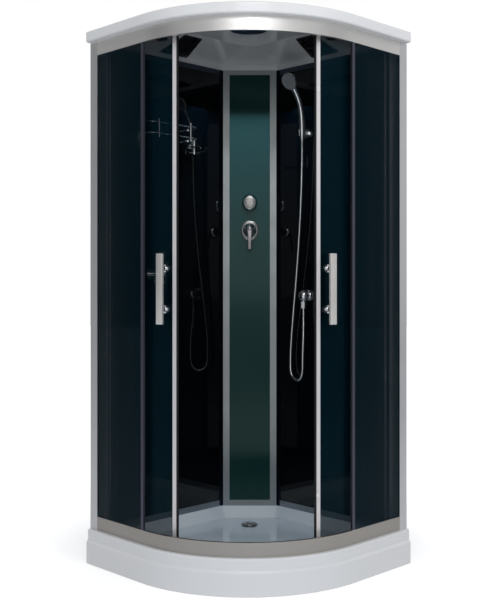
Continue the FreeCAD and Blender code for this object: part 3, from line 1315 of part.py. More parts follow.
def door_handle():
    """Flat bar outside, on two stand-offs that pass through the glass to round inner knobs."""
    half = HANDLE_THICK / 2.0
    line = DOOR_SETBACK - HANDLE_STAND
    bar = tangent_box(HANDLE_OFFSET, HANDLE_WIDTH / 2.0, line - half, line + half,
                      HANDLE_HEIGHT - HANDLE_LENGTH / 2.0, HANDLE_HEIGHT + HANDLE_LENGTH / 2.0)
    long_edges = [e for e in bar.Edges if e.BoundBox.ZLength > HANDLE_LENGTH - 1]
    bar = bar.makeFillet(3.0, long_edges)
    pieces = [bar]
    outer_face = DOOR_SETBACK - GLASS / 2.0
    inner_face = DOOR_SETBACK + GLASS / 2.0

    def along(z, set0, set1, radius):
        return cylinder(radius, radial_point(HANDLE_OFFSET, set0, z), radial_point(HANDLE_OFFSET, set1, z))

    for z in handle_heights():
        pieces.append(along(z, line, outer_face - 5.0, STANDOFF_RADIUS))
        pieces.append(along(z, outer_face - 6.0, outer_face - CLEAR, ROSETTE_RADIUS))
        pieces.append(along(z, outer_face - 1.0, inner_face + 1.0, 5.0))
        pieces.append(along(z, inner_face + CLEAR, inner_face + 5.0, ROSETTE_RADIUS))
        pieces.append(along(z, inner_face + 4.0, inner_face + 24.0, 11.0))
    return fuse(pieces)


def door_hangers():
    """Two clips on the glass's top edge that carry the wheel axles, and two guides under its bottom edge."""
    pieces = []
    half = 18.0
    gap = GLASS / 2.0 + SLOT_GAP
    for distance in ROLLERS:
        clip = tangent_box(distance, half, DOOR_SETBACK - 5.2, HANGER_SETBACK + HANGER_THICK / 2.0, DOOR_TOP - 9.0,
                           DOOR_TOP + 3.5)
        plate = tangent_box(distance, 9.0, HANGER_SETBACK - HANGER_THICK / 2.0, HANGER_SETBACK + HANGER_THICK / 2.0,
                            DOOR_TOP, WHEEL_AXIS + 7.0)
        inner = WHEEL_SETBACK - WHEEL_WIDTH / 2.0 - CLEAR
        axle = cylinder(AXLE_RADIUS, radial_point(distance, HANGER_SETBACK, WHEEL_AXIS),
                        radial_point(distance, inner - 0.8, WHEEL_AXIS))
        head = cylinder(4.4, radial_point(distance, inner, WHEEL_AXIS), radial_point(distance, inner - 0.8, WHEEL_AXIS))
        collar = cylinder(5.0, radial_point(distance, HANGER_SETBACK, WHEEL_AXIS),
                          radial_point(distance, WHEEL_SETBACK + WHEEL_WIDTH / 2.0 + CLEAR, WHEEL_AXIS))
        body = fuse([clip, plate, axle, head, collar])
        slot = curved_plate(DOOR_SETBACK - gap, DOOR_SETBACK + gap, distance - 40.0, distance + 40.0,
                            DOOR_TOP - 17.0, DOOR_TOP + 0.3)
        pieces.append(body.cut(slot))
    for distance in ROLLERS:
        clip = tangent_box(distance, half, DOOR_SETBACK - 5.2, DOOR_SETBACK + 5.2, DOOR_BOTTOM - 3.5,
                           DOOR_BOTTOM + 9.0)
        shoe = tangent_box(distance, 12.0, DOOR_SETBACK - 3.0, DOOR_SETBACK + 3.0, TRAY_HEIGHT + RAIL_PLATE + 3.0,
                           DOOR_BOTTOM)
        slot = curved_plate(DOOR_SETBACK - gap, DOOR_SETBACK + gap, distance - 40.0, distance + 40.0,
                            DOOR_BOTTOM - 0.3, DOOR_BOTTOM + 15.0)
        pieces.append(fuse([clip, shoe]).cut(slot))
    return Part.makeCompound(pieces)


def door_wheel(distance):
    """One roller, turning on its hanger's axle."""
    start = radial_point(distance, WHEEL_SETBACK + WHEEL_WIDTH / 2.0, WHEEL_AXIS)
    end = radial_point(distance, WHEEL_SETBACK - WHEEL_WIDTH / 2.0, WHEEL_AXIS)
    wheel = cylinder(WHEEL_RADIUS, start, end)
    middle = radial_point(distance, WHEEL_SETBACK, WHEEL_AXIS)
    axis = end.sub(start).normalize()
    groove_ring = Part.makeTorus(WHEEL_RADIUS + 0.6, 1.5, middle, axis)
    return cut(wheel, [groove_ring, cylinder(AXLE_RADIUS + RUNNING_GAP, start, end)])


def door_swing(shift):
    """Upright axis and angle that carry both hangers along the track from shut to open."""
    lead0 = track_point(ROLLERS[0], DOOR_RADIUS)
    rear0 = track_point(ROLLERS[1], DOOR_RADIUS)
    lead1 = track_point(ROLLERS[0] + shift, DOOR_RADIUS)
    chord = rear0.sub(lead0).Length
    line = ARC_CENTRE + DOOR_RADIUS
    rear1 = V(lead1.x - math.sqrt(chord ** 2 - (line - lead1.y) ** 2), line, 0)
    before = rear0.sub(lead0)
    after = rear1.sub(lead1)
    angle = math.atan2(after.y, after.x) - math.atan2(before.y, before.x)
    middle = lead0.add(lead1).multiply(0.5)
    step = lead1.sub(lead0)
    pole = middle.add(V(-step.y, step.x, 0).multiply(0.5 / math.tan(angle / 2.0)))
    return pole, math.degrees(angle)


def door_pieces(shift):
    """All the pieces of the right door in its open pose, in the part's frame."""
    pole, angle = door_swing(shift)
    shut = {
        "glass": door_glass(),
        "edge_profiles": door_edges(),
        "magnet_seal": door_seal(),
        "handle": door_handle(),
        "hangers": door_hangers(),
        "front_wheel": door_wheel(ROLLERS[0]),
        "rear_wheel": door_wheel(ROLLERS[1]),
    }
    opened = {}
    for name, shape in shut.items():
        moved = shape.copy()
        moved.rotate(V(pole.x, pole.y, 0), UP, angle)
        opened[name] = in_part_frame(moved)
    return opened


# ---- all nodes --------------------------------------------------------------------------------------
def build():
    nodes = {}

    def both(name, shape):
        """Write a piece drawn beside the right wall, and its copy on the left."""
        right = in_part_frame(shape)
        nodes["right_" + name] = right
        nodes["left_" + name] = mirrored(right)

    nodes["tray"] = in_part_frame(make_tray())
    nodes["tray_frame"] = in_part_frame(make_tray_frame())
    nodes["levelling_feet"] = in_part_frame(make_levelling_feet())
    nodes["foot_lock_nuts"] = in_part_frame(make_foot_nuts())
    nodes["drain_trap"] = in_part_frame(make_drain_trap())
    nodes["drain_flange"] = in_part_frame(make_drain_flange())
    nodes["drain_cover"] = in_part_frame(make_drain_cover())
    nodes["bottom_rail"] = in_part_frame(make_bottom_rail())
    nodes["top_rail"] = in_part_frame(make_top_rail())
    post = in_part_frame(make_right_post())
    nodes["corner_posts"] = Part.makeCompound([post, mirrored(post)])
    both("fixed_glass", make_right_fixed_glass())
    strip = in_part_frame(make_right_fixed_strip())
    nodes["fixed_edge_strips"] = Part.makeCompound([strip, mirrored(strip)])
    nodes["right_wall_glass"] = in_part_frame(make_wall_glass().cut(outlet_hole()))
    nodes["left_wall_glass"] = mirrored(in_part_frame(make_wall_glass()))
    wall_frame = in_part_frame(make_right_wall_frame())
    nodes["wall_frames"] = Part.makeCompound(wall_frame.Solids + mirrored(wall_frame).Solids)
    nodes["pillar_panel"] = make_pillar_panel()
    nodes["pillar_frame"] = make_pillar_frame()
    nodes["roof"] = in_part_frame(make_roof())
    nodes["overhead_shower"] = in_part_frame(make_overhead_shower())
    nodes["overhead_shower_face"] = in_part_frame(make_overhead_face())
    nodes["right_vent_panel"] = in_part_frame(make_vent_panel(True))
    nodes["left_vent_panel"] = mirrored(in_part_frame(make_vent_panel(False)))
    nodes["fan_housing"] = in_part_frame(make_fan_housing())
    nodes["fan_rotor"] = in_part_frame(make_fan_rotor())
    nodes["speaker"] = mirrored(in_part_frame(make_speaker()))
    nodes["mixer_escutcheon"] = make_escutcheon()
    nodes["mixer_valve"] = make_mixer_valve()
    nodes["mixer_cartridge"] = make_mixer_cartridge()
    nodes["mixer_lever"] = make_mixer_lever()
    nodes["diverter_valve"] = make_diverter_valve()
    nodes["diverter_knob"] = make_diverter_knob()
    nodes["supply_pipes"] = make_supply_pipes()
    nodes["wall_outlet"] = in_part_frame(make_wall_outlet())
    nodes["hose"] = in_part_frame(make_hose())
    upper_nut, lower_nut = make_hose_nuts()
    nodes["handset_hose_nut"] = in_part_frame(upper_nut)
    nodes["outlet_hose_nut"] = in_part_frame(lower_nut)
    nodes["shower_wall_bracket"] = in_part_frame(make_wall_bracket())
    nodes["handset_cradle"] = in_part_frame(make_cradle())
    nodes["handset_body"] = in_part_frame(make_handset())
    nodes["handset_face"] = in_part_frame(make_handset_face())
    nodes["shelf_glass"] = mirrored(in_part_frame(make_shelf_glass()))
    nodes["shelf_brackets"] = mirrored(in_part_frame(make_shelf_brackets()))
    nodes["shelf_gallery"] = mirrored(in_part_frame(make_shelf_gallery()))
    nodes["tumbler"] = mirrored(in_part_frame(make_tumbler()))
    nodes["tumbler_holder"] = mirrored(in_part_frame(make_tumbler_holder()))
    for side, shift in (("right", RIGHT_SHIFT), ("left", LEFT_SHIFT)):
        for name, shape in door_pieces(shift).items():
            nodes[side + "_door_" + name] = shape if side == "right" else mirrored(shape)
    return nodes


def main():
    os.makedirs("parts", exist_ok=True)
    for name, shape in build().items():
        shape.exportStep("parts/%s.step" % name)
        print("%-24s %3d solids %12.0f mm3 valid %s" % (name, len(shape.Solids), shape.Volume, shape.isValid()))


main()
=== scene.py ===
"""Looks of the corner shower cabin, piece by piece in the order it is put together.

Metres, +Z up, the curved front faces -Y, the room corner lies at +Y.
"""
import math

import bpy
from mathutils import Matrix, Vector


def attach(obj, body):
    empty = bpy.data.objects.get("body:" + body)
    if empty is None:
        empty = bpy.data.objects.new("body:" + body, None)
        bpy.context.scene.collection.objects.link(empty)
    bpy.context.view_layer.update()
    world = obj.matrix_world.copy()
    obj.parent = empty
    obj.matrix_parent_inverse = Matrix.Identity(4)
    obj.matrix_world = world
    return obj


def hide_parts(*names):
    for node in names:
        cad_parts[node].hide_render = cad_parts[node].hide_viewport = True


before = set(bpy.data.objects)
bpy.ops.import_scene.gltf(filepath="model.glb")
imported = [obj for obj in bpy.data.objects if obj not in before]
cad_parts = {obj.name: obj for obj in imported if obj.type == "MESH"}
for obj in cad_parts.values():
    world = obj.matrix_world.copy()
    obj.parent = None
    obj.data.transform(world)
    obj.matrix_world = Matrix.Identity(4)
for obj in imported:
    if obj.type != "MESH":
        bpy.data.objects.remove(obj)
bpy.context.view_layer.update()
bpy.ops.object.select_all(action="DESELECT")


# ---- Tray -------------------------------------------------------------------------------------
# One vacuum-formed sheet of white acrylic, backed with resin: a stepped apron at the front, a flat
# rim and a shallow basin. It is glossy, with the faint unevenness that formed sheet has.
ACRYLIC_WHITE = (0.78, 0.79, 0.81, 1.0)


def plain_material(name, colour, roughness, metallic=0.0):
    """A new material with its Principled shader set to one finish."""
    material = bpy.data.materials.new(name)
    material.use_nodes = True
    shader = material.node_tree.nodes["Principled BSDF"]
    shader.inputs["Base Color"].default_value = colour
    shader.inputs["Roughness"].default_value = roughness
    shader.inputs["Metallic"].default_value = metallic
    return material, material.node_tree, shader


def build_unevenness():
    """Node group: a soft cloudy value between Low and High, for gloss that varies."""
    group = bpy.data.node_groups.new("soft_unevenness", "ShaderNodeTree")
    group.interface.new_socket("Vector", in_out="INPUT", socket_type="NodeSocketVector")
    for name, value in (("Scale", 6.0), ("Low", 0.1), ("High", 0.2)):
        socket = group.interface.new_socket(name, in_out="INPUT", socket_type="NodeSocketFloat")
        socket.default_value = value
    group.interface.new_socket("Value", in_out="OUTPUT", socket_type="NodeSocketFloat")
    inlet = group.nodes.new("NodeGroupInput")
    outlet = group.nodes.new("NodeGroupOutput")
    noise = group.nodes.new("ShaderNodeTexNoise")
    noise.inputs["Detail"].default_value = 3.0
    spread = group.nodes.new("ShaderNodeMapRange")
    spread.inputs["From Min"].default_value = 0.3
    spread.inputs["From Max"].default_value = 0.7
    group.links.new(inlet.outputs["Vector"], noise.inputs["Vector"])
    group.links.new(inlet.outputs["Scale"], noise.inputs["Scale"])
    group.links.new(noise.outputs["Fac"], spread.inputs["Value"])
    group.links.new(inlet.outputs["Low"], spread.inputs["To Min"])
    group.links.new(inlet.outputs["High"], spread.inputs["To Max"])
    group.links.new(spread.outputs["Result"], outlet.inputs["Value"])
    return group


unevenness = build_unevenness()


def vary_gloss(tree, shader, scale, low, high):
    """Let the roughness drift between two values over the piece."""
    place = tree.nodes.new("ShaderNodeTexCoord")
    group = tree.nodes.new("ShaderNodeGroup")
    group.node_tree = unevenness
    group.inputs["Scale"].default_value = scale
    group.inputs["Low"].default_value = low
    group.inputs["High"].default_value = high
    tree.links.new(place.outputs["Object"], group.inputs["Vector"])
    tree.links.new(group.outputs["Value"], shader.inputs["Roughness"])


def waviness(tree, shader, scale, height):
    """A shallow bump, such as formed or rolled sheet shows in its reflections."""
    place = tree.nodes.new("ShaderNodeTexCoord")
    noise = tree.nodes.new("ShaderNodeTexNoise")
    noise.inputs["Scale"].default_value = scale
    noise.inputs["Detail"].default_value = 1.0
    bump = tree.nodes.new("ShaderNodeBump")
    bump.inputs["Distance"].default_value = height
    tree.links.new(place.outputs["Object"], noise.inputs["Vector"])
    tree.links.new(noise.outputs["Fac"], bump.inputs["Height"])
    tree.links.new(bump.outputs["Normal"], shader.inputs["Normal"])


def dress(material, *names):
    """Give CAD nodes a material."""
    for name in names:
        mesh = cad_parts[name].data
        mesh.materials.clear()
        mesh.materials.append(material)


acrylic, tree, shader = plain_material("white_acrylic", ACRYLIC_WHITE, 0.16)
shader.inputs["Coat Weight"].default_value = 0.25
shader.inputs["Coat Roughness"].default_value = 0.05
vary_gloss(tree, shader, 5.0, 0.12, 0.22)
waviness(tree, shader, 9.0, 0.0006)
dress(acrylic, "tray")


# ---- Carrying frame, feet and drain -----------------------------------------------------------
# Under the tray: a welded frame of zinc-plated square tube on levelling feet, and a grey plastic
# trap. Only the satin drain cover shows from above, a domed lid that lifts off.
ZINC = (0.52, 0.53, 0.54, 1.0)
GREY_PLASTIC = (0.23, 0.24, 0.25, 1.0)
CHROME = (0.86, 0.87, 0.89, 1.0)

zinc, tree, shader = plain_material("zinc_plate", ZINC, 0.4, 1.0)
vary_gloss(tree, shader, 30.0, 0.3, 0.5)
dress(zinc, "tray_frame", "levelling_feet", "foot_lock_nuts", "drain_flange")

grey_plastic, tree, shader = plain_material("grey_plastic", GREY_PLASTIC, 0.45)
vary_gloss(tree, shader, 40.0, 0.38, 0.52)
dress(grey_plastic, "drain_trap")

chrome, tree, shader = plain_material("chrome", CHROME, 0.08, 1.0)
vary_gloss(tree, shader, 25.0, 0.05, 0.12)
satin_chrome, tree, shader = plain_material("satin_chrome", (0.36, 0.365, 0.36, 1.0), 0.3, 1.0)
vary_gloss(tree, shader, 40.0, 0.24, 0.36)
dress(satin_chrome, "drain_cover")


# ---- Rails and corner posts -------------------------------------------------------------------
# Extruded aluminium, anodised to a soft silver. The top rail's silver is painted much lighter than
# the bottom rail's warmer, darker one: painted light and shade on the one finish. The die leaves
# hair-fine lines along each profile: upright on the posts, level on the bent rails.
SILVER = (0.76, 0.77, 0.79, 1.0)
LEAD_SILVER = (0.74, 0.72, 0.74, 1.0)
RAIL_SILVER = (0.49, 0.465, 0.44, 1.0)
# painted light: the top rail's silver, painted lighter than the bottom rail's
TOP_RAIL_PAINTED_LIGHT = (0.90, 0.89, 0.88, 1.0)
UPRIGHT_LINES = (900.0, 900.0, 3.0)  # stretch of the die lines, finest across them
LEVEL_LINES = (3.0, 3.0, 900.0)


def build_drawn_lines():
    """Node group: fine lines from the die, as a height; the stretch sets which way they run."""
    group = bpy.data.node_groups.new("drawn_lines", "ShaderNodeTree")
    group.interface.new_socket("Vector", in_out="INPUT", socket_type="NodeSocketVector")
    group.interface.new_socket("Stretch", in_out="INPUT", socket_type="NodeSocketVector")
    group.interface.new_socket("Height", in_out="OUTPUT", socket_type="NodeSocketFloat")
    inlet = group.nodes.new("NodeGroupInput")
    outlet = group.nodes.new("NodeGroupOutput")
    pull = group.nodes.new("ShaderNodeVectorMath")
    pull.operation = "MULTIPLY"
    noise = group.nodes.new("ShaderNodeTexNoise")
    noise.inputs["Scale"].default_value = 1.0
    noise.inputs["Detail"].default_value = 4.0
    group.links.new(inlet.outputs["Vector"], pull.inputs[0])
    group.links.new(inlet.outputs["Stretch"], pull.inputs[1])
    group.links.new(pull.outputs["Vector"], noise.inputs["Vector"])
    group.links.new(noise.outputs["Fac"], outlet.inputs["Height"])
    return group


drawn_lines = build_drawn_lines()


def anodised(name, colour, stretch, low, high):
    """Anodised aluminium with die lines that run the way the stretch is smallest."""
    material, tree, shader = plain_material(name, colour, low, 1.0)
    vary_gloss(tree, shader, 8.0, low, high)
    place = tree.nodes.new("ShaderNodeTexCoord")
    lines = tree.nodes.new("ShaderNodeGroup")
    lines.node_tree = drawn_lines
    lines.inputs["Stretch"].default_value = stretch
    bump = tree.nodes.new("ShaderNodeBump")
    bump.inputs["Distance"].default_value = 0.0002
    bump.inputs["Strength"].default_value = 0.35
    tree.links.new(place.outputs["Object"], lines.inputs["Vector"])
    tree.links.new(lines.outputs["Height"], bump.inputs["Height"])
    tree.links.new(bump.outputs["Normal"], shader.inputs["Normal"])
    return material


upright_silver = anodised("upright_silver", SILVER, UPRIGHT_LINES, 0.28, 0.36)
lead_silver = anodised("lead_silver", LEAD_SILVER, UPRIGHT_LINES, 0.20, 0.28)
lead_silver.node_tree.nodes["Principled BSDF"].inputs["Metallic"].default_value = 0.4
level_silver = anodised("level_silver", RAIL_SILVER, LEVEL_LINES, 0.38, 0.44)
dress(upright_silver, "corner_posts")
# the top rail gets the lighter silver, a painted light
top_silver_painted_light = anodised("top_silver_painted_light", TOP_RAIL_PAINTED_LIGHT, LEVEL_LINES, 0.38, 0.44)
dress(level_silver, "bottom_rail")
dress(top_silver_painted_light, "top_rail")


# ---- Fixed glasses ----------------------------------------------------------------------------
# Two flat panes of blue-grey tinted safety glass in the front straights, each with a slim darker
# profile pushed over its free edge.
TINT = (0.0004, 0.0085, 0.0145, 1.0)
TINT_DEPTH = 0.50
STRIP_GREY = (0.115, 0.118, 0.160, 1.0)

tinted_glass, tree, shader = plain_material("tinted_glass", TINT, 0.03)
shader.inputs["Alpha"].default_value = TINT_DEPTH
shader.inputs["Specular IOR Level"].default_value = 0.14
shader.inputs["Specular Tint"].default_value = (0.35, 0.80, 1.0, 1.0)
vary_gloss(tree, shader, 3.0, 0.02, 0.05)
dress(tinted_glass, "right_fixed_glass", "left_fixed_glass")
strip_grey = anodised("strip_grey", STRIP_GREY, UPRIGHT_LINES, 0.36, 0.44)
dress(strip_grey, "fixed_edge_strips")


# ---- Walls and pillar -------------------------------------------------------------------------
# The two walls are glass painted black behind, in grey frames that are painted darker above their
# bottom bars as painted shade. The slanting pillar between them is dark green glass, edged by two
# broad silver trims that turn onto the walls, their sides there painted dark as painted shade.
BLACK_GLASS = (0.0012, 0.0020, 0.0028, 1.0)
GREEN_GLASS = (0.004, 0.034, 0.031, 1.0)
# painted shade: the frames above their bottom bars are painted this darker grey
FRAME_PAINTED_SHADE = (0.10, 0.12, 0.16, 1.0)
SILL_GREY = (0.36, 0.38, 0.41, 1.0)
FRAME_SHADE_START = 0.1352  # the frames' bottom bars keep the lighter grey up to this height; above it they are painted darker as painted shade
TRIM_SILVER = (0.35, 0.38, 0.39, 1.0)
# painted shade: the dark blue-grey painted on the trims' sides where they turn onto the walls
TRIM_SIDE_PAINTED_SHADE = (0.030, 0.038, 0.060, 1.0)
TRIM_SHADE_START = 0.1172  # the trims' faces end here; their sides on the walls are painted dark as painted shade

black_glass, tree, shader = plain_material("black_glass", BLACK_GLASS, 0.03)
vary_gloss(tree, shader, 2.0, 0.02, 0.05)
dress(black_glass, "right_wall_glass", "left_wall_glass")

green_glass, tree, shader = plain_material("green_glass", GREEN_GLASS, 0.12)
shader.inputs["Specular IOR Level"].default_value = 0.34
shader.inputs["Specular Tint"].default_value = (0.72, 1.0, 0.94, 1.0)
vary_gloss(tree, shader, 4.0, 0.10, 0.16)
dress(green_glass, "pillar_panel")


def shade_beyond(material, axis, limit, colour, painted_shade):
    """One colour up to a distance from the middle or the floor, and past it a darker colour as
    painted shade.
    """
    tree = material.node_tree
    place = tree.nodes.new("ShaderNodeTexCoord")
    split = tree.nodes.new("ShaderNodeSeparateXYZ")
    size = tree.nodes.new("ShaderNodeMath")
    size.operation = "ABSOLUTE"
    past = tree.nodes.new("ShaderNodeMath")
    past.operation = "GREATER_THAN"
    past.inputs[1].default_value = limit
    choose = tree.nodes.new("ShaderNodeMix")
    choose.data_type = "RGBA"
    choose.inputs["A"].default_value = colour
    choose.inputs["B"].default_value = painted_shade
    tree.links.new(place.outputs["Object"], split.inputs["Vector"])
    tree.links.new(split.outputs[axis], size.inputs[0])
    tree.links.new(size.outputs["Value"], past.inputs[0])
    tree.links.new(past.outputs["Value"], choose.inputs["Factor"])
    tree.links.new(choose.outputs["Result"], tree.nodes["Principled BSDF"].inputs["Base Color"])


# Painted shade: the frames are painted darker above their bottom bars, and the pillar trims' sides
# on the walls are painted dark.
frame_grey = anodised("frame_grey", FRAME_PAINTED_SHADE, UPRIGHT_LINES, 0.3, 0.42)
shade_beyond(frame_grey, "Z", FRAME_SHADE_START, SILL_GREY, FRAME_PAINTED_SHADE)
trim_silver = anodised("trim_silver", TRIM_SILVER, UPRIGHT_LINES, 0.3, 0.4)
shade_beyond(trim_silver, "X", TRIM_SHADE_START, TRIM_SILVER, TRIM_SIDE_PAINTED_SHADE)
dress(frame_grey, "wall_frames")
dress(trim_silver, "pillar_frame")


# ---- Roof -------------------------------------------------------------------------------------
# A second white acrylic moulding: a deep fascia over the front rail and a low vault that holds the
# overhead shower and the two dark vent panels.
dress(acrylic, "roof")

black_plastic, tree, shader = plain_material("black_plastic", (0.012, 0.012, 0.014, 1.0), 0.3)
vary_gloss(tree, shader, 30.0, 0.22, 0.4)
dress(black_plastic, "right_vent_panel", "left_vent_panel", "fan_housing", "speaker")
dress(grey_plastic, "fan_rotor")


# ---- Overhead shower --------------------------------------------------------------------------
# A chromed disc with a toothed rim on a short stem. Its face is dark blue with rings of nozzles.
dress(chrome, "overhead_shower")
nozzle_face, tree, shader = plain_material("nozzle_face", (0.010, 0.018, 0.060, 1.0), 0.15)
vary_gloss(tree, shader, 40.0, 0.1, 0.2)
dress(nozzle_face, "overhead_shower_face")


# ---- Mixer and diverter -----------------------------------------------------------------------
# Chromed brass: an oval plate with a domed hub and its hanging lever, and above it the round
# diverter knob. Their valve bodies and the supply pipes sit behind the pillar.
brass, tree, shader = plain_material("cast_brass", (0.60, 0.42, 0.18, 1.0), 0.4, 1.0)
vary_gloss(tree, shader, 50.0, 0.32, 0.5)
dress(brass, "mixer_valve", "diverter_valve", "mixer_cartridge")
soft_chrome, tree, shader = plain_material("soft_chrome", CHROME, 0.2, 1.0)
vary_gloss(tree, shader, 40.0, 0.17, 0.24)
brushed_lever, tree, shader = plain_material("brushed_lever", (0.20, 0.19, 0.20, 1.0), 0.34, 1.0)
vary_gloss(tree, shader, 60.0, 0.28, 0.4)
dress(satin_chrome, "mixer_escutcheon")


def drawn_bar(start, width, depth, steps, sides=0):
    """A bar grown upwards or downwards from one end, by steps of centre, width and depth."""
    if sides:
        bpy.ops.mesh.primitive_circle_add(vertices=sides, radius=0.5, fill_type="NGON",
                                          location=start)
    else:
        bpy.ops.mesh.primitive_plane_add(size=1.0, location=start)
    piece = bpy.context.active_object
    piece.scale = (width, depth, 1.0)
    bpy.ops.object.transform_apply(location=True, rotation=True, scale=True)
    bpy.ops.object.mode_set(mode="EDIT")
    bpy.ops.mesh.select_all(action="SELECT")
    here = Vector(start)
    for centre, wide, deep in steps:
        centre = Vector(centre)
        bpy.ops.mesh.extrude_region_move(TRANSFORM_OT_translate={"value": centre - here})
        bpy.ops.transform.resize(value=(wide / width, deep / depth, 1.0), center_override=centre)
        here, width, depth = centre, wide, deep
    bpy.ops.mesh.select_all(action="SELECT")
    bpy.ops.mesh.normals_make_consistent(inside=False)
    bpy.ops.object.mode_set(mode="OBJECT")
    return piece


def apply_modifier(piece, kind, **settings):
    """Add a modifier to the active piece and apply it."""
    modifier = piece.modifiers.new("shape", kind)
    for name, value in settings.items():
        setattr(modifier, name, value)
    bpy.ops.object.modifier_apply(modifier=modifier.name)


def stand_at(piece, place, turn):
    """Move and turn the active piece, then take that into its mesh."""
    piece.location = place
    piece.rotation_euler = [math.radians(angle) for angle in turn]
    bpy.ops.object.transform_apply(location=True, rotation=True, scale=True)


def hand_over(piece, name, material, body, node=None):
    """Name a finished piece, tie it to its body and hide the node it stands for."""
    piece.name = name
    bpy.ops.object.shade_smooth_by_angle(angle=math.radians(35.0))
    if not piece.data.materials:
        piece.data.materials.append(material)
    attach(piece, body)
    if node:
        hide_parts(node)
    bpy.ops.object.select_all(action="DESELECT")


PILLAR_FACE = 0.36538
LEVER_HEIGHT = 1.319
HUB_RADIUS = 0.030
KNOB_HEIGHT = 1.441

hub_at = Vector((0.0, PILLAR_FACE - 0.024, LEVER_HEIGHT))
bpy.ops.mesh.primitive_uv_sphere_add(segments=48, ring_count=24, radius=HUB_RADIUS, location=hub_at)
hub = bpy.context.active_object
bpy.ops.object.transform_apply(location=True, rotation=True, scale=True)
bpy.ops.object.mode_set(mode="EDIT")
bpy.ops.mesh.select_all(action="SELECT")
bpy.ops.mesh.bisect(plane_co=hub_at - Vector((0.0, 0.002, 0.0)), plane_no=(0.0, -1.0, 0.0),
                    clear_inner=True, use_fill=True)
bpy.ops.object.mode_set(mode="OBJECT")
hand_over(hub, "lever_hub", chrome, "lever", "mixer_lever")

paddle = drawn_bar(
    (0.0, PILLAR_FACE - 0.040, LEVER_HEIGHT + 0.0215), 0.018, 0.006,
    [((0.0, PILLAR_FACE - 0.0425, LEVER_HEIGHT + 0.016), 0.024, 0.012),
     ((0.0, PILLAR_FACE - 0.047, LEVER_HEIGHT + 0.004), 0.023, 0.016),
     ((0.0, PILLAR_FACE - 0.053, LEVER_HEIGHT - 0.012), 0.019, 0.014),
     ((0.0, PILLAR_FACE - 0.059, LEVER_HEIGHT - 0.032), 0.0165, 0.010),
     ((0.0, PILLAR_FACE - 0.0655, LEVER_HEIGHT - 0.082), 0.0155, 0.008),
     ((0.0, PILLAR_FACE - 0.066, LEVER_HEIGHT - 0.086), 0.0150, 0.0075)])
apply_modifier(paddle, "BEVEL", width=0.0022, segments=4, limit_method="ANGLE",
               angle_limit=math.radians(40.0))
hand_over(paddle, "lever_paddle", brushed_lever, "lever")

knob = drawn_bar((0.0, 0.0, 0.001), 0.067, 0.076,
                 [((0.0, 0.0, 0.012), 0.0665, 0.0755), ((0.0, 0.0, 0.0155), 0.0645, 0.0735),
                  ((0.0, 0.0, 0.0215), 0.0560, 0.0640), ((0.0, 0.0, 0.0240), 0.0520, 0.0595),
                  ((0.0, 0.0, 0.0247), 0.0495, 0.0570), ((0.0, 0.0, 0.0238), 0.0475, 0.0550)],
                 sides=64)
stand_at(knob, (0.0, PILLAR_FACE, KNOB_HEIGHT), (90.0, 0.0, 0.0))
hand_over(knob, "knob_body", soft_chrome, "knob", "diverter_knob")

cap = drawn_bar((0.0, 0.0, 0.0225), 0.0472, 0.0547,
                [((0.0, 0.0, 0.0244), 0.0462, 0.0536), ((0.0, 0.0, 0.0252), 0.0400, 0.0465),
                 ((0.0, 0.0, 0.0259), 0.0260, 0.0300), ((0.0, 0.0, 0.0262), 0.0080, 0.0095)],
                sides=64)
stand_at(cap, (0.0, PILLAR_FACE, KNOB_HEIGHT), (90.0, 0.0, 0.0))
hand_over(cap, "knob_cap", satin_chrome, "knob")

white_pipe, tree, shader = plain_material("white_pipe", (0.72, 0.72, 0.70, 1.0), 0.4)
vary_gloss(tree, shader, 20.0, 0.35, 0.5)
dress(white_pipe, "supply_pipes")


# ---- Hand shower ------------------------------------------------------------------------------
# Chromed handset with a grey nozzle face, in a swivelling cup on the right wall, and the wall
# outlet that feeds its hose.
CORNER_Y = (0.350 * math.sqrt(2.0) + 0.550 + 0.0023 + 0.020 * (math.sqrt(2.0) - 1.0)) / 2.0

dress(chrome, "wall_outlet", "handset_hose_nut", "outlet_hose_nut", "shower_wall_bracket",
      "handset_cradle")
nozzle_grey, tree, shader = plain_material("nozzle_grey", (0.30, 0.32, 0.34, 1.0), 0.35)
vary_gloss(tree, shader, 40.0, 0.3, 0.42)
dress(nozzle_grey, "handset_face")

grip = drawn_bar(
    (0.0580, 0.3745, 1.7110), 0.0212, 0.0212,
    [((0.0580, 0.3745, 1.7390), 0.0240, 0.0240), ((0.0580, 0.3745, 1.7500), 0.0260, 0.0260),
     ((0.0588, 0.3745, 1.7700), 0.0268, 0.0264), ((0.0610, 0.3745, 1.7950), 0.0260, 0.0256),
     ((0.0645, 0.3745, 1.8200), 0.0252, 0.0246), ((0.0710, 0.3745, 1.8450), 0.0255, 0.0236),
     ((0.0800, 0.3745, 1.8660), 0.0275, 0.0234), ((0.0910, 0.3745, 1.8840), 0.0300, 0.0246),
     ((0.1030, 0.3745, 1.9000), 0.0340, 0.0270), ((0.1180, 0.3745, 1.9200), 0.0360, 0.0300)],
    sides=32)
head = drawn_bar((0.0, 0.0, -0.0262), 0.012, 0.012,
                 [((0.0, 0.0, -0.0250), 0.038, 0.038), ((0.0, 0.0, -0.0215), 0.054, 0.054),
                  ((0.0, 0.0, -0.0165), 0.065, 0.065), ((0.0, 0.0, -0.0110), 0.0716, 0.0716),
                  ((0.0, 0.0, -0.0060), 0.0746, 0.0746), ((0.0, 0.0, -0.0020), 0.0750, 0.0750),
                  ((0.0, 0.0, -0.0004), 0.0738, 0.0738), ((0.0, 0.0, 0.0), 0.0720, 0.0720),
                  ((0.0, 0.0, -0.0002), 0.0672, 0.0672), ((0.0, 0.0, -0.0029), 0.0672, 0.0672)],
                 sides=64)
stand_at(head, (0.142, 0.3745, 1.929), (0.0, 121.6, 0.0))
grip.select_set(True)
bpy.ops.object.join()
stand_at(head, (0.0, CORNER_Y, 0.0), (0.0, 0.0, -135.0))
hand_over(head, "handset_shell", chrome, "handset", "handset_body")


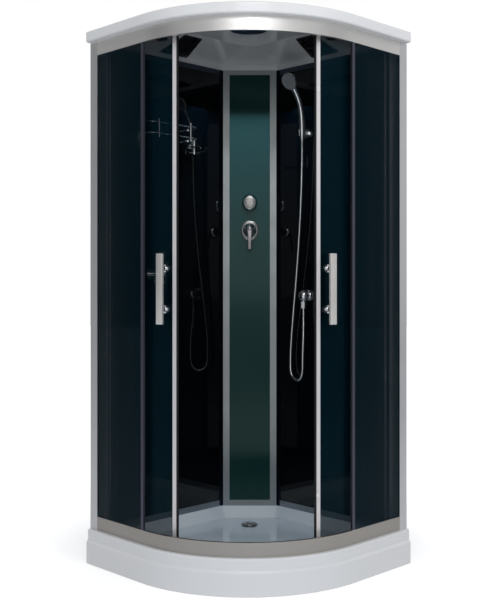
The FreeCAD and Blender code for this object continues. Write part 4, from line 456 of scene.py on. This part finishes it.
# ---- Hose -------------------------------------------------------------------------------------
# A double-lock metal hose, 12 mm thick and 1.4 m long: a strip wound and folded into itself, so it
# shows close rings. It hangs in one long bow from the handset to the outlet.
HOSE_DIAMETER = 0.012
RING_PITCH = 0.0036
GROOVE_DEPTH = 0.0007
HOSE_SIDES = 16
HOSE_ROUTE = (  # out from the right wall, along it from the room corner, and up
    (0.0580, 0.3745, 1.700), (0.0580, 0.3745, 1.640), (0.0574, 0.3723, 1.560),
    (0.0561, 0.3675, 1.460), (0.0538, 0.3585, 1.345), (0.0506, 0.3445, 1.215),
    (0.0466, 0.3275, 1.085), (0.0429, 0.3100, 0.965), (0.0403, 0.2970, 0.865),
    (0.0392, 0.2895, 0.780), (0.0425, 0.2910, 0.703), (0.0500, 0.3190, 0.675),
    (0.0590, 0.3570, 0.673), (0.0650, 0.3830, 0.700), (0.0670, 0.3860, 0.768),
    (0.0625, 0.3850, 0.850), (0.0530, 0.3780, 0.925), (0.0530, 0.3780, 0.987),
)


def from_wall(out, along, height):
    """A place measured out from the right wall, along it from the room corner, and up."""
    half = math.sqrt(0.5)
    return Vector(((along - out) * half, CORNER_Y - (along + out) * half, height))


def route_curve(name, points):
    """A smooth NURBS curve with these places as its control points."""
    curve = bpy.data.curves.new(name, "CURVE")
    curve.dimensions = "3D"
    curve.resolution_u = 24
    spline = curve.splines.new("NURBS")
    spline.points.add(len(points) - 1)
    for slot, place in zip(spline.points, points):
        slot.co = (*place, 1.0)
    spline.order_u = 3
    spline.use_endpoint_u = True
    holder = bpy.data.objects.new(name, curve)
    bpy.context.scene.collection.objects.link(holder)
    return holder


def even_steps(line, count):
    """Places at equal steps along a run of points, with the direction at each."""
    lengths = [0.0]
    for here, there in zip(line, line[1:]):
        lengths.append(lengths[-1] + (there - here).length)
    steps = []
    index = 0
    for step in range(count + 1):
        want = lengths[-1] * step / count
        while index < len(line) - 2 and lengths[index + 1] < want:
            index += 1
        span = max(lengths[index + 1] - lengths[index], 1e-9)
        share = min(max((want - lengths[index]) / span, 0.0), 1.0)
        here, there = line[index], line[index + 1]
        steps.append((here.lerp(there, share), (there - here).normalized()))
    return steps, lengths[-1]


def ringed_hose(name, points, radius, groove, pitch, sides):
    """A tube with close rings that follows the route's own smooth line."""
    holder = route_curve(name + "_route", points)
    bpy.context.view_layer.update()
    read = bpy.data.meshes.new_from_object(holder)
    line = [v.co.copy() for v in read.vertices]
    bpy.data.objects.remove(holder)
    bpy.data.meshes.remove(read)
    _, length = even_steps(line, 2)
    rings = round(length / pitch)
    steps, _ = even_steps(line, rings * 3)
    form = (radius - groove, radius, radius)
    vertices = []
    across = Vector((math.sqrt(0.5), math.sqrt(0.5), 0.0))
    for index, (place, along) in enumerate(steps):
        side = (across - along * across.dot(along)).normalized()
        up = along.cross(side)
        size = form[index % 3]
        for turn in range(sides):
            angle = 2.0 * math.pi * turn / sides
            vertices.append(place + (side * math.cos(angle) + up * math.sin(angle)) * size)
    faces = []
    for ring in range(len(steps) - 1):
        for turn in range(sides):
            there = (turn + 1) % sides
            faces.append((ring * sides + turn, ring * sides + there, (ring + 1) * sides + there,
                          (ring + 1) * sides + turn))
    last = (len(steps) - 1) * sides
    faces.append(tuple(reversed(range(sides))))
    faces.append(tuple(last + turn for turn in range(sides)))
    mesh = bpy.data.meshes.new(name)
    mesh.from_pydata(vertices, [], faces)
    mesh.validate()
    piece = bpy.data.objects.new(name, mesh)
    bpy.context.scene.collection.objects.link(piece)
    for face in mesh.polygons:
        face.use_smooth = len(face.vertices) == 4
    return piece, [place for place, _ in steps]


hose, hose_line = ringed_hose("shower_hose", [from_wall(*place) for place in HOSE_ROUTE],
                              HOSE_DIAMETER / 2.0, GROOVE_DEPTH, RING_PITCH, HOSE_SIDES)
hose.data.materials.append(chrome)
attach(hose, "cabin")
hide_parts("hose")


# ---- Shelf and tumbler ------------------------------------------------------------------------
# A clear glass shelf on two chromed brackets with a double rail round it, and below it a clear
# tumbler that stands in a chromed ring.
clear_glass, tree, shader = plain_material("clear_glass", (0.92, 0.96, 0.95, 1.0), 0.02)
shader.inputs["Transmission Weight"].default_value = 1.0
shader.inputs["IOR"].default_value = 1.48
dress(clear_glass, "shelf_glass", "tumbler")
dress(chrome, "shelf_brackets", "shelf_gallery", "tumbler_holder")


# ---- Doors ------------------------------------------------------------------------------------
# Two bent panes of the same tinted glass, each with a silver profile and a black magnet seal on its
# leading edge, a flat brushed handle on round stand-offs, and black hangers whose nylon rollers run
# in the top rail.
black_rubber, tree, shader = plain_material("black_rubber", (0.003, 0.003, 0.004, 1.0), 0.6)
vary_gloss(tree, shader, 60.0, 0.5, 0.7)
brushed_steel = anodised("brushed_steel", (0.90, 0.88, 0.87, 1.0), UPRIGHT_LINES, 0.34, 0.42)
HANDLES = (  # the middle of each handle on the glass, and which way the glass faces there
    ("right", (0.28765, -0.34877, 1.0665), 25.026),
    ("left", (-0.29762, -0.34047, 1.0665), -25.249),
)
HANDLE_BAR = (0.026, 0.012, 0.256)
BAR_DISTANCE = 0.045
POST_SPREAD = 0.0745
POST_STEPS = (  # radius, start and end of each turned step, from the bar through the glass
    (0.009, -0.0400, -0.0080), (0.0145, -0.0085, -0.0028), (0.005, -0.0030, 0.0030),
    (0.0145, 0.0028, 0.0075), (0.011, 0.0070, 0.0265),
)


def round_bar(radius, start, end, height):
    """A short round bar square to the glass, between two distances from its middle."""
    bpy.ops.mesh.primitive_cylinder_add(vertices=48, radius=radius, depth=end - start,
                                        location=(0.0, (start + end) / 2.0, height),
                                        rotation=(math.radians(90.0), 0.0, 0.0))
    piece = bpy.context.active_object
    bpy.ops.object.transform_apply(location=True, rotation=True, scale=True)
    return piece


def build_handle(side, place, turn):
    """The flat outer bar, and its two stand-offs with the round knobs inside the door."""
    door = side + "_door"
    bpy.ops.mesh.primitive_cube_add(size=1.0, location=(0.0, -BAR_DISTANCE, 0.0))
    bar = bpy.context.active_object
    bar.scale = HANDLE_BAR
    bpy.ops.object.transform_apply(location=True, rotation=True, scale=True)
    apply_modifier(bar, "BEVEL", width=0.0016, segments=3)
    stand_at(bar, place, (0.0, 0.0, turn))
    hand_over(bar, side + "_handle_bar", brushed_steel, door, door + "_handle")
    posts = []
    for height in (-POST_SPREAD, POST_SPREAD):
        for radius, start, end in POST_STEPS:
            posts.append(round_bar(radius, start, end, height))
    for piece in posts:
        piece.select_set(True)
    bpy.ops.object.join()
    joined = bpy.context.active_object
    apply_modifier(joined, "BEVEL", width=0.0010, segments=2, limit_method="ANGLE",
                   angle_limit=math.radians(60.0))
    stand_at(joined, place, (0.0, 0.0, turn))
    hand_over(joined, side + "_handle_posts", chrome, door)


for side, place, turn in HANDLES:
    door = side + "_door_"
    dress(tinted_glass, door + "glass")
    dress(lead_silver, door + "edge_profiles")
    dress(black_rubber, door + "magnet_seal")
    dress(black_plastic, door + "hangers")
    dress(grey_plastic, door + "front_wheel", door + "rear_wheel")
    build_handle(side, place, turn)


# ---- Floor, light and camera ------------------------------------------------------------------
# A plain pale floor and a white backdrop, soft studio lamps with the brighter one at the front
# right, a cool one over the basin, and the camera at the photograph's viewing angle.
bpy.ops.mesh.primitive_plane_add(size=40.0, location=(0.0, 0.0, -0.0005))
floor = bpy.context.active_object
floor.name = "studio_floor"
paper, tree, shader = plain_material("studio_paper", (0.85, 0.85, 0.85, 1.0), 0.9)
shader.inputs["Specular IOR Level"].default_value = 0.1
shader.inputs["Emission Color"].default_value = (1.0, 1.0, 1.0, 1.0)
place = tree.nodes.new("ShaderNodeTexCoord")
far = tree.nodes.new("ShaderNodeVectorMath")
far.operation = "LENGTH"
fade = tree.nodes.new("ShaderNodeMapRange")  # the paper runs out into plain white
fade.inputs["From Min"].default_value = 0.6
fade.inputs["From Max"].default_value = 1.7
fade.inputs["To Min"].default_value = 0.45
fade.inputs["To Max"].default_value = 1.0
ray = tree.nodes.new("ShaderNodeLightPath")
lift = tree.nodes.new("ShaderNodeMath")
lift.operation = "MULTIPLY"
tree.links.new(place.outputs["Object"], far.inputs[0])
tree.links.new(far.outputs["Value"], fade.inputs["Value"])
tree.links.new(ray.outputs["Is Camera Ray"], lift.inputs[0])
tree.links.new(fade.outputs["Result"], lift.inputs[1])
tree.links.new(lift.outputs["Value"], shader.inputs["Emission Strength"])
floor.data.materials.append(paper)

world = bpy.data.worlds.new("studio")
bpy.context.scene.world = world
world.use_nodes = True
tree = world.node_tree
sky = tree.nodes["Background"]
sky.inputs["Color"].default_value = (1.0, 1.0, 1.0, 1.0)
ray = tree.nodes.new("ShaderNodeLightPath")
place = tree.nodes.new("ShaderNodeTexCoord")
split = tree.nodes.new("ShaderNodeSeparateXYZ")
tree.links.new(place.outputs["Generated"], split.inputs["Vector"])


def ramp(value, start, end, low, high):
    """A straight change from low to high while a value goes from start to end."""
    change = tree.nodes.new("ShaderNodeMapRange")
    change.inputs["From Min"].default_value = start
    change.inputs["From Max"].default_value = end
    change.inputs["To Min"].default_value = low
    change.inputs["To Max"].default_value = high
    tree.links.new(value, change.inputs["Value"])
    return change.outputs["Result"]


def combine(operation, first, second):
    """Two values joined by one arithmetic step."""
    step = tree.nodes.new("ShaderNodeMath")
    step.operation = operation
    for slot, value in zip(step.inputs, (first, second)):
        if isinstance(value, float):
            slot.default_value = value
        else:
            tree.links.new(value, slot)
    return step.outputs["Value"]


back = ramp(split.outputs["Y"], 0.05, 0.30, 0.0, 1.0)  # the backdrop is bright,
front = ramp(split.outputs["Y"], -0.10, -0.45, 0.0, 0.60)  # the studio behind the camera half lit
flank = ramp(split.outputs["X"], -1.0, 1.0, 0.5, 1.0)  # and all of it dimmer on the left
around = combine("MAXIMUM", combine("ADD", back, front), 0.30)
mirror = combine("MULTIPLY", combine("MULTIPLY", around, flank), ray.outputs["Is Glossy Ray"])
seen = combine("MAXIMUM", ray.outputs["Is Camera Ray"], ray.outputs["Is Transmission Ray"])
fill = combine("MULTIPLY", ray.outputs["Is Diffuse Ray"], 0.42)
strength = combine("MAXIMUM", combine("MAXIMUM", seen, mirror), fill)
tree.links.new(strength, sky.inputs["Strength"])
cool = tree.nodes.new("ShaderNodeMix")  # the light that only fills the shadows is a little blue
cool.data_type = "RGBA"
cool.inputs["A"].default_value = (1.0, 1.0, 1.0, 1.0)
cool.inputs["B"].default_value = (0.95, 0.97, 1.0, 1.0)
tree.links.new(ray.outputs["Is Diffuse Ray"], cool.inputs["Factor"])
tree.links.new(cool.outputs["Result"], sky.inputs["Color"])


def softbox(name, place, aim, width, height, power, mirrored=True, tint=(1.0, 1.0, 1.0)):
    """A rectangular lamp turned towards a point; glossy pieces may mirror it or not."""
    lamp = bpy.data.lights.new(name, "AREA")
    lamp.shape = "RECTANGLE"
    lamp.size = width
    lamp.size_y = height
    lamp.energy = power
    lamp.color = tint
    holder = bpy.data.objects.new(name, lamp)
    holder.location = place
    holder.rotation_euler = (Vector(aim) - Vector(place)).to_track_quat("-Z", "Y").to_euler()
    holder.visible_glossy = mirrored
    bpy.context.scene.collection.objects.link(holder)


softbox("key_lamp", (2.7, -2.8, 2.8), (0.0, 0.0, 1.9), 2.0, 2.0, 46.0, mirrored=False)
softbox("left_lamp", (-2.8, -2.8, 2.4), (0.0, 0.0, 1.6), 1.8, 1.8, 21.0, mirrored=False)
softbox("high_lamp", (0.2, -3.4, 3.5), (0.0, 0.1, 0.4), 1.6, 1.2, 28.0)
softbox("basin_lamp", (0.0, 0.05, 1.85), (0.0, 0.0, 0.2), 0.5, 0.5, 4.4, mirrored=False,
        tint=(0.38, 0.72, 1.0))
softbox("glow_lamp", (0.0, -3.9, 1.78), (0.0, 0.365, 1.4), 1.4, 1.65, 4.6)

camera_data = bpy.data.cameras.new("camera")
camera_data.lens = 56.256
camera_data.shift_x = -0.01925
camera_data.shift_y = -0.02757
camera = bpy.data.objects.new("camera", camera_data)
camera.location = (0.041, CORNER_Y - 4.286, 1.0863)
camera.rotation_euler = (math.radians(90.0), 0.0, 0.0)
bpy.context.scene.collection.objects.link(camera)
bpy.context.scene.camera = camera
bpy.context.scene.view_settings.view_transform = "Standard"
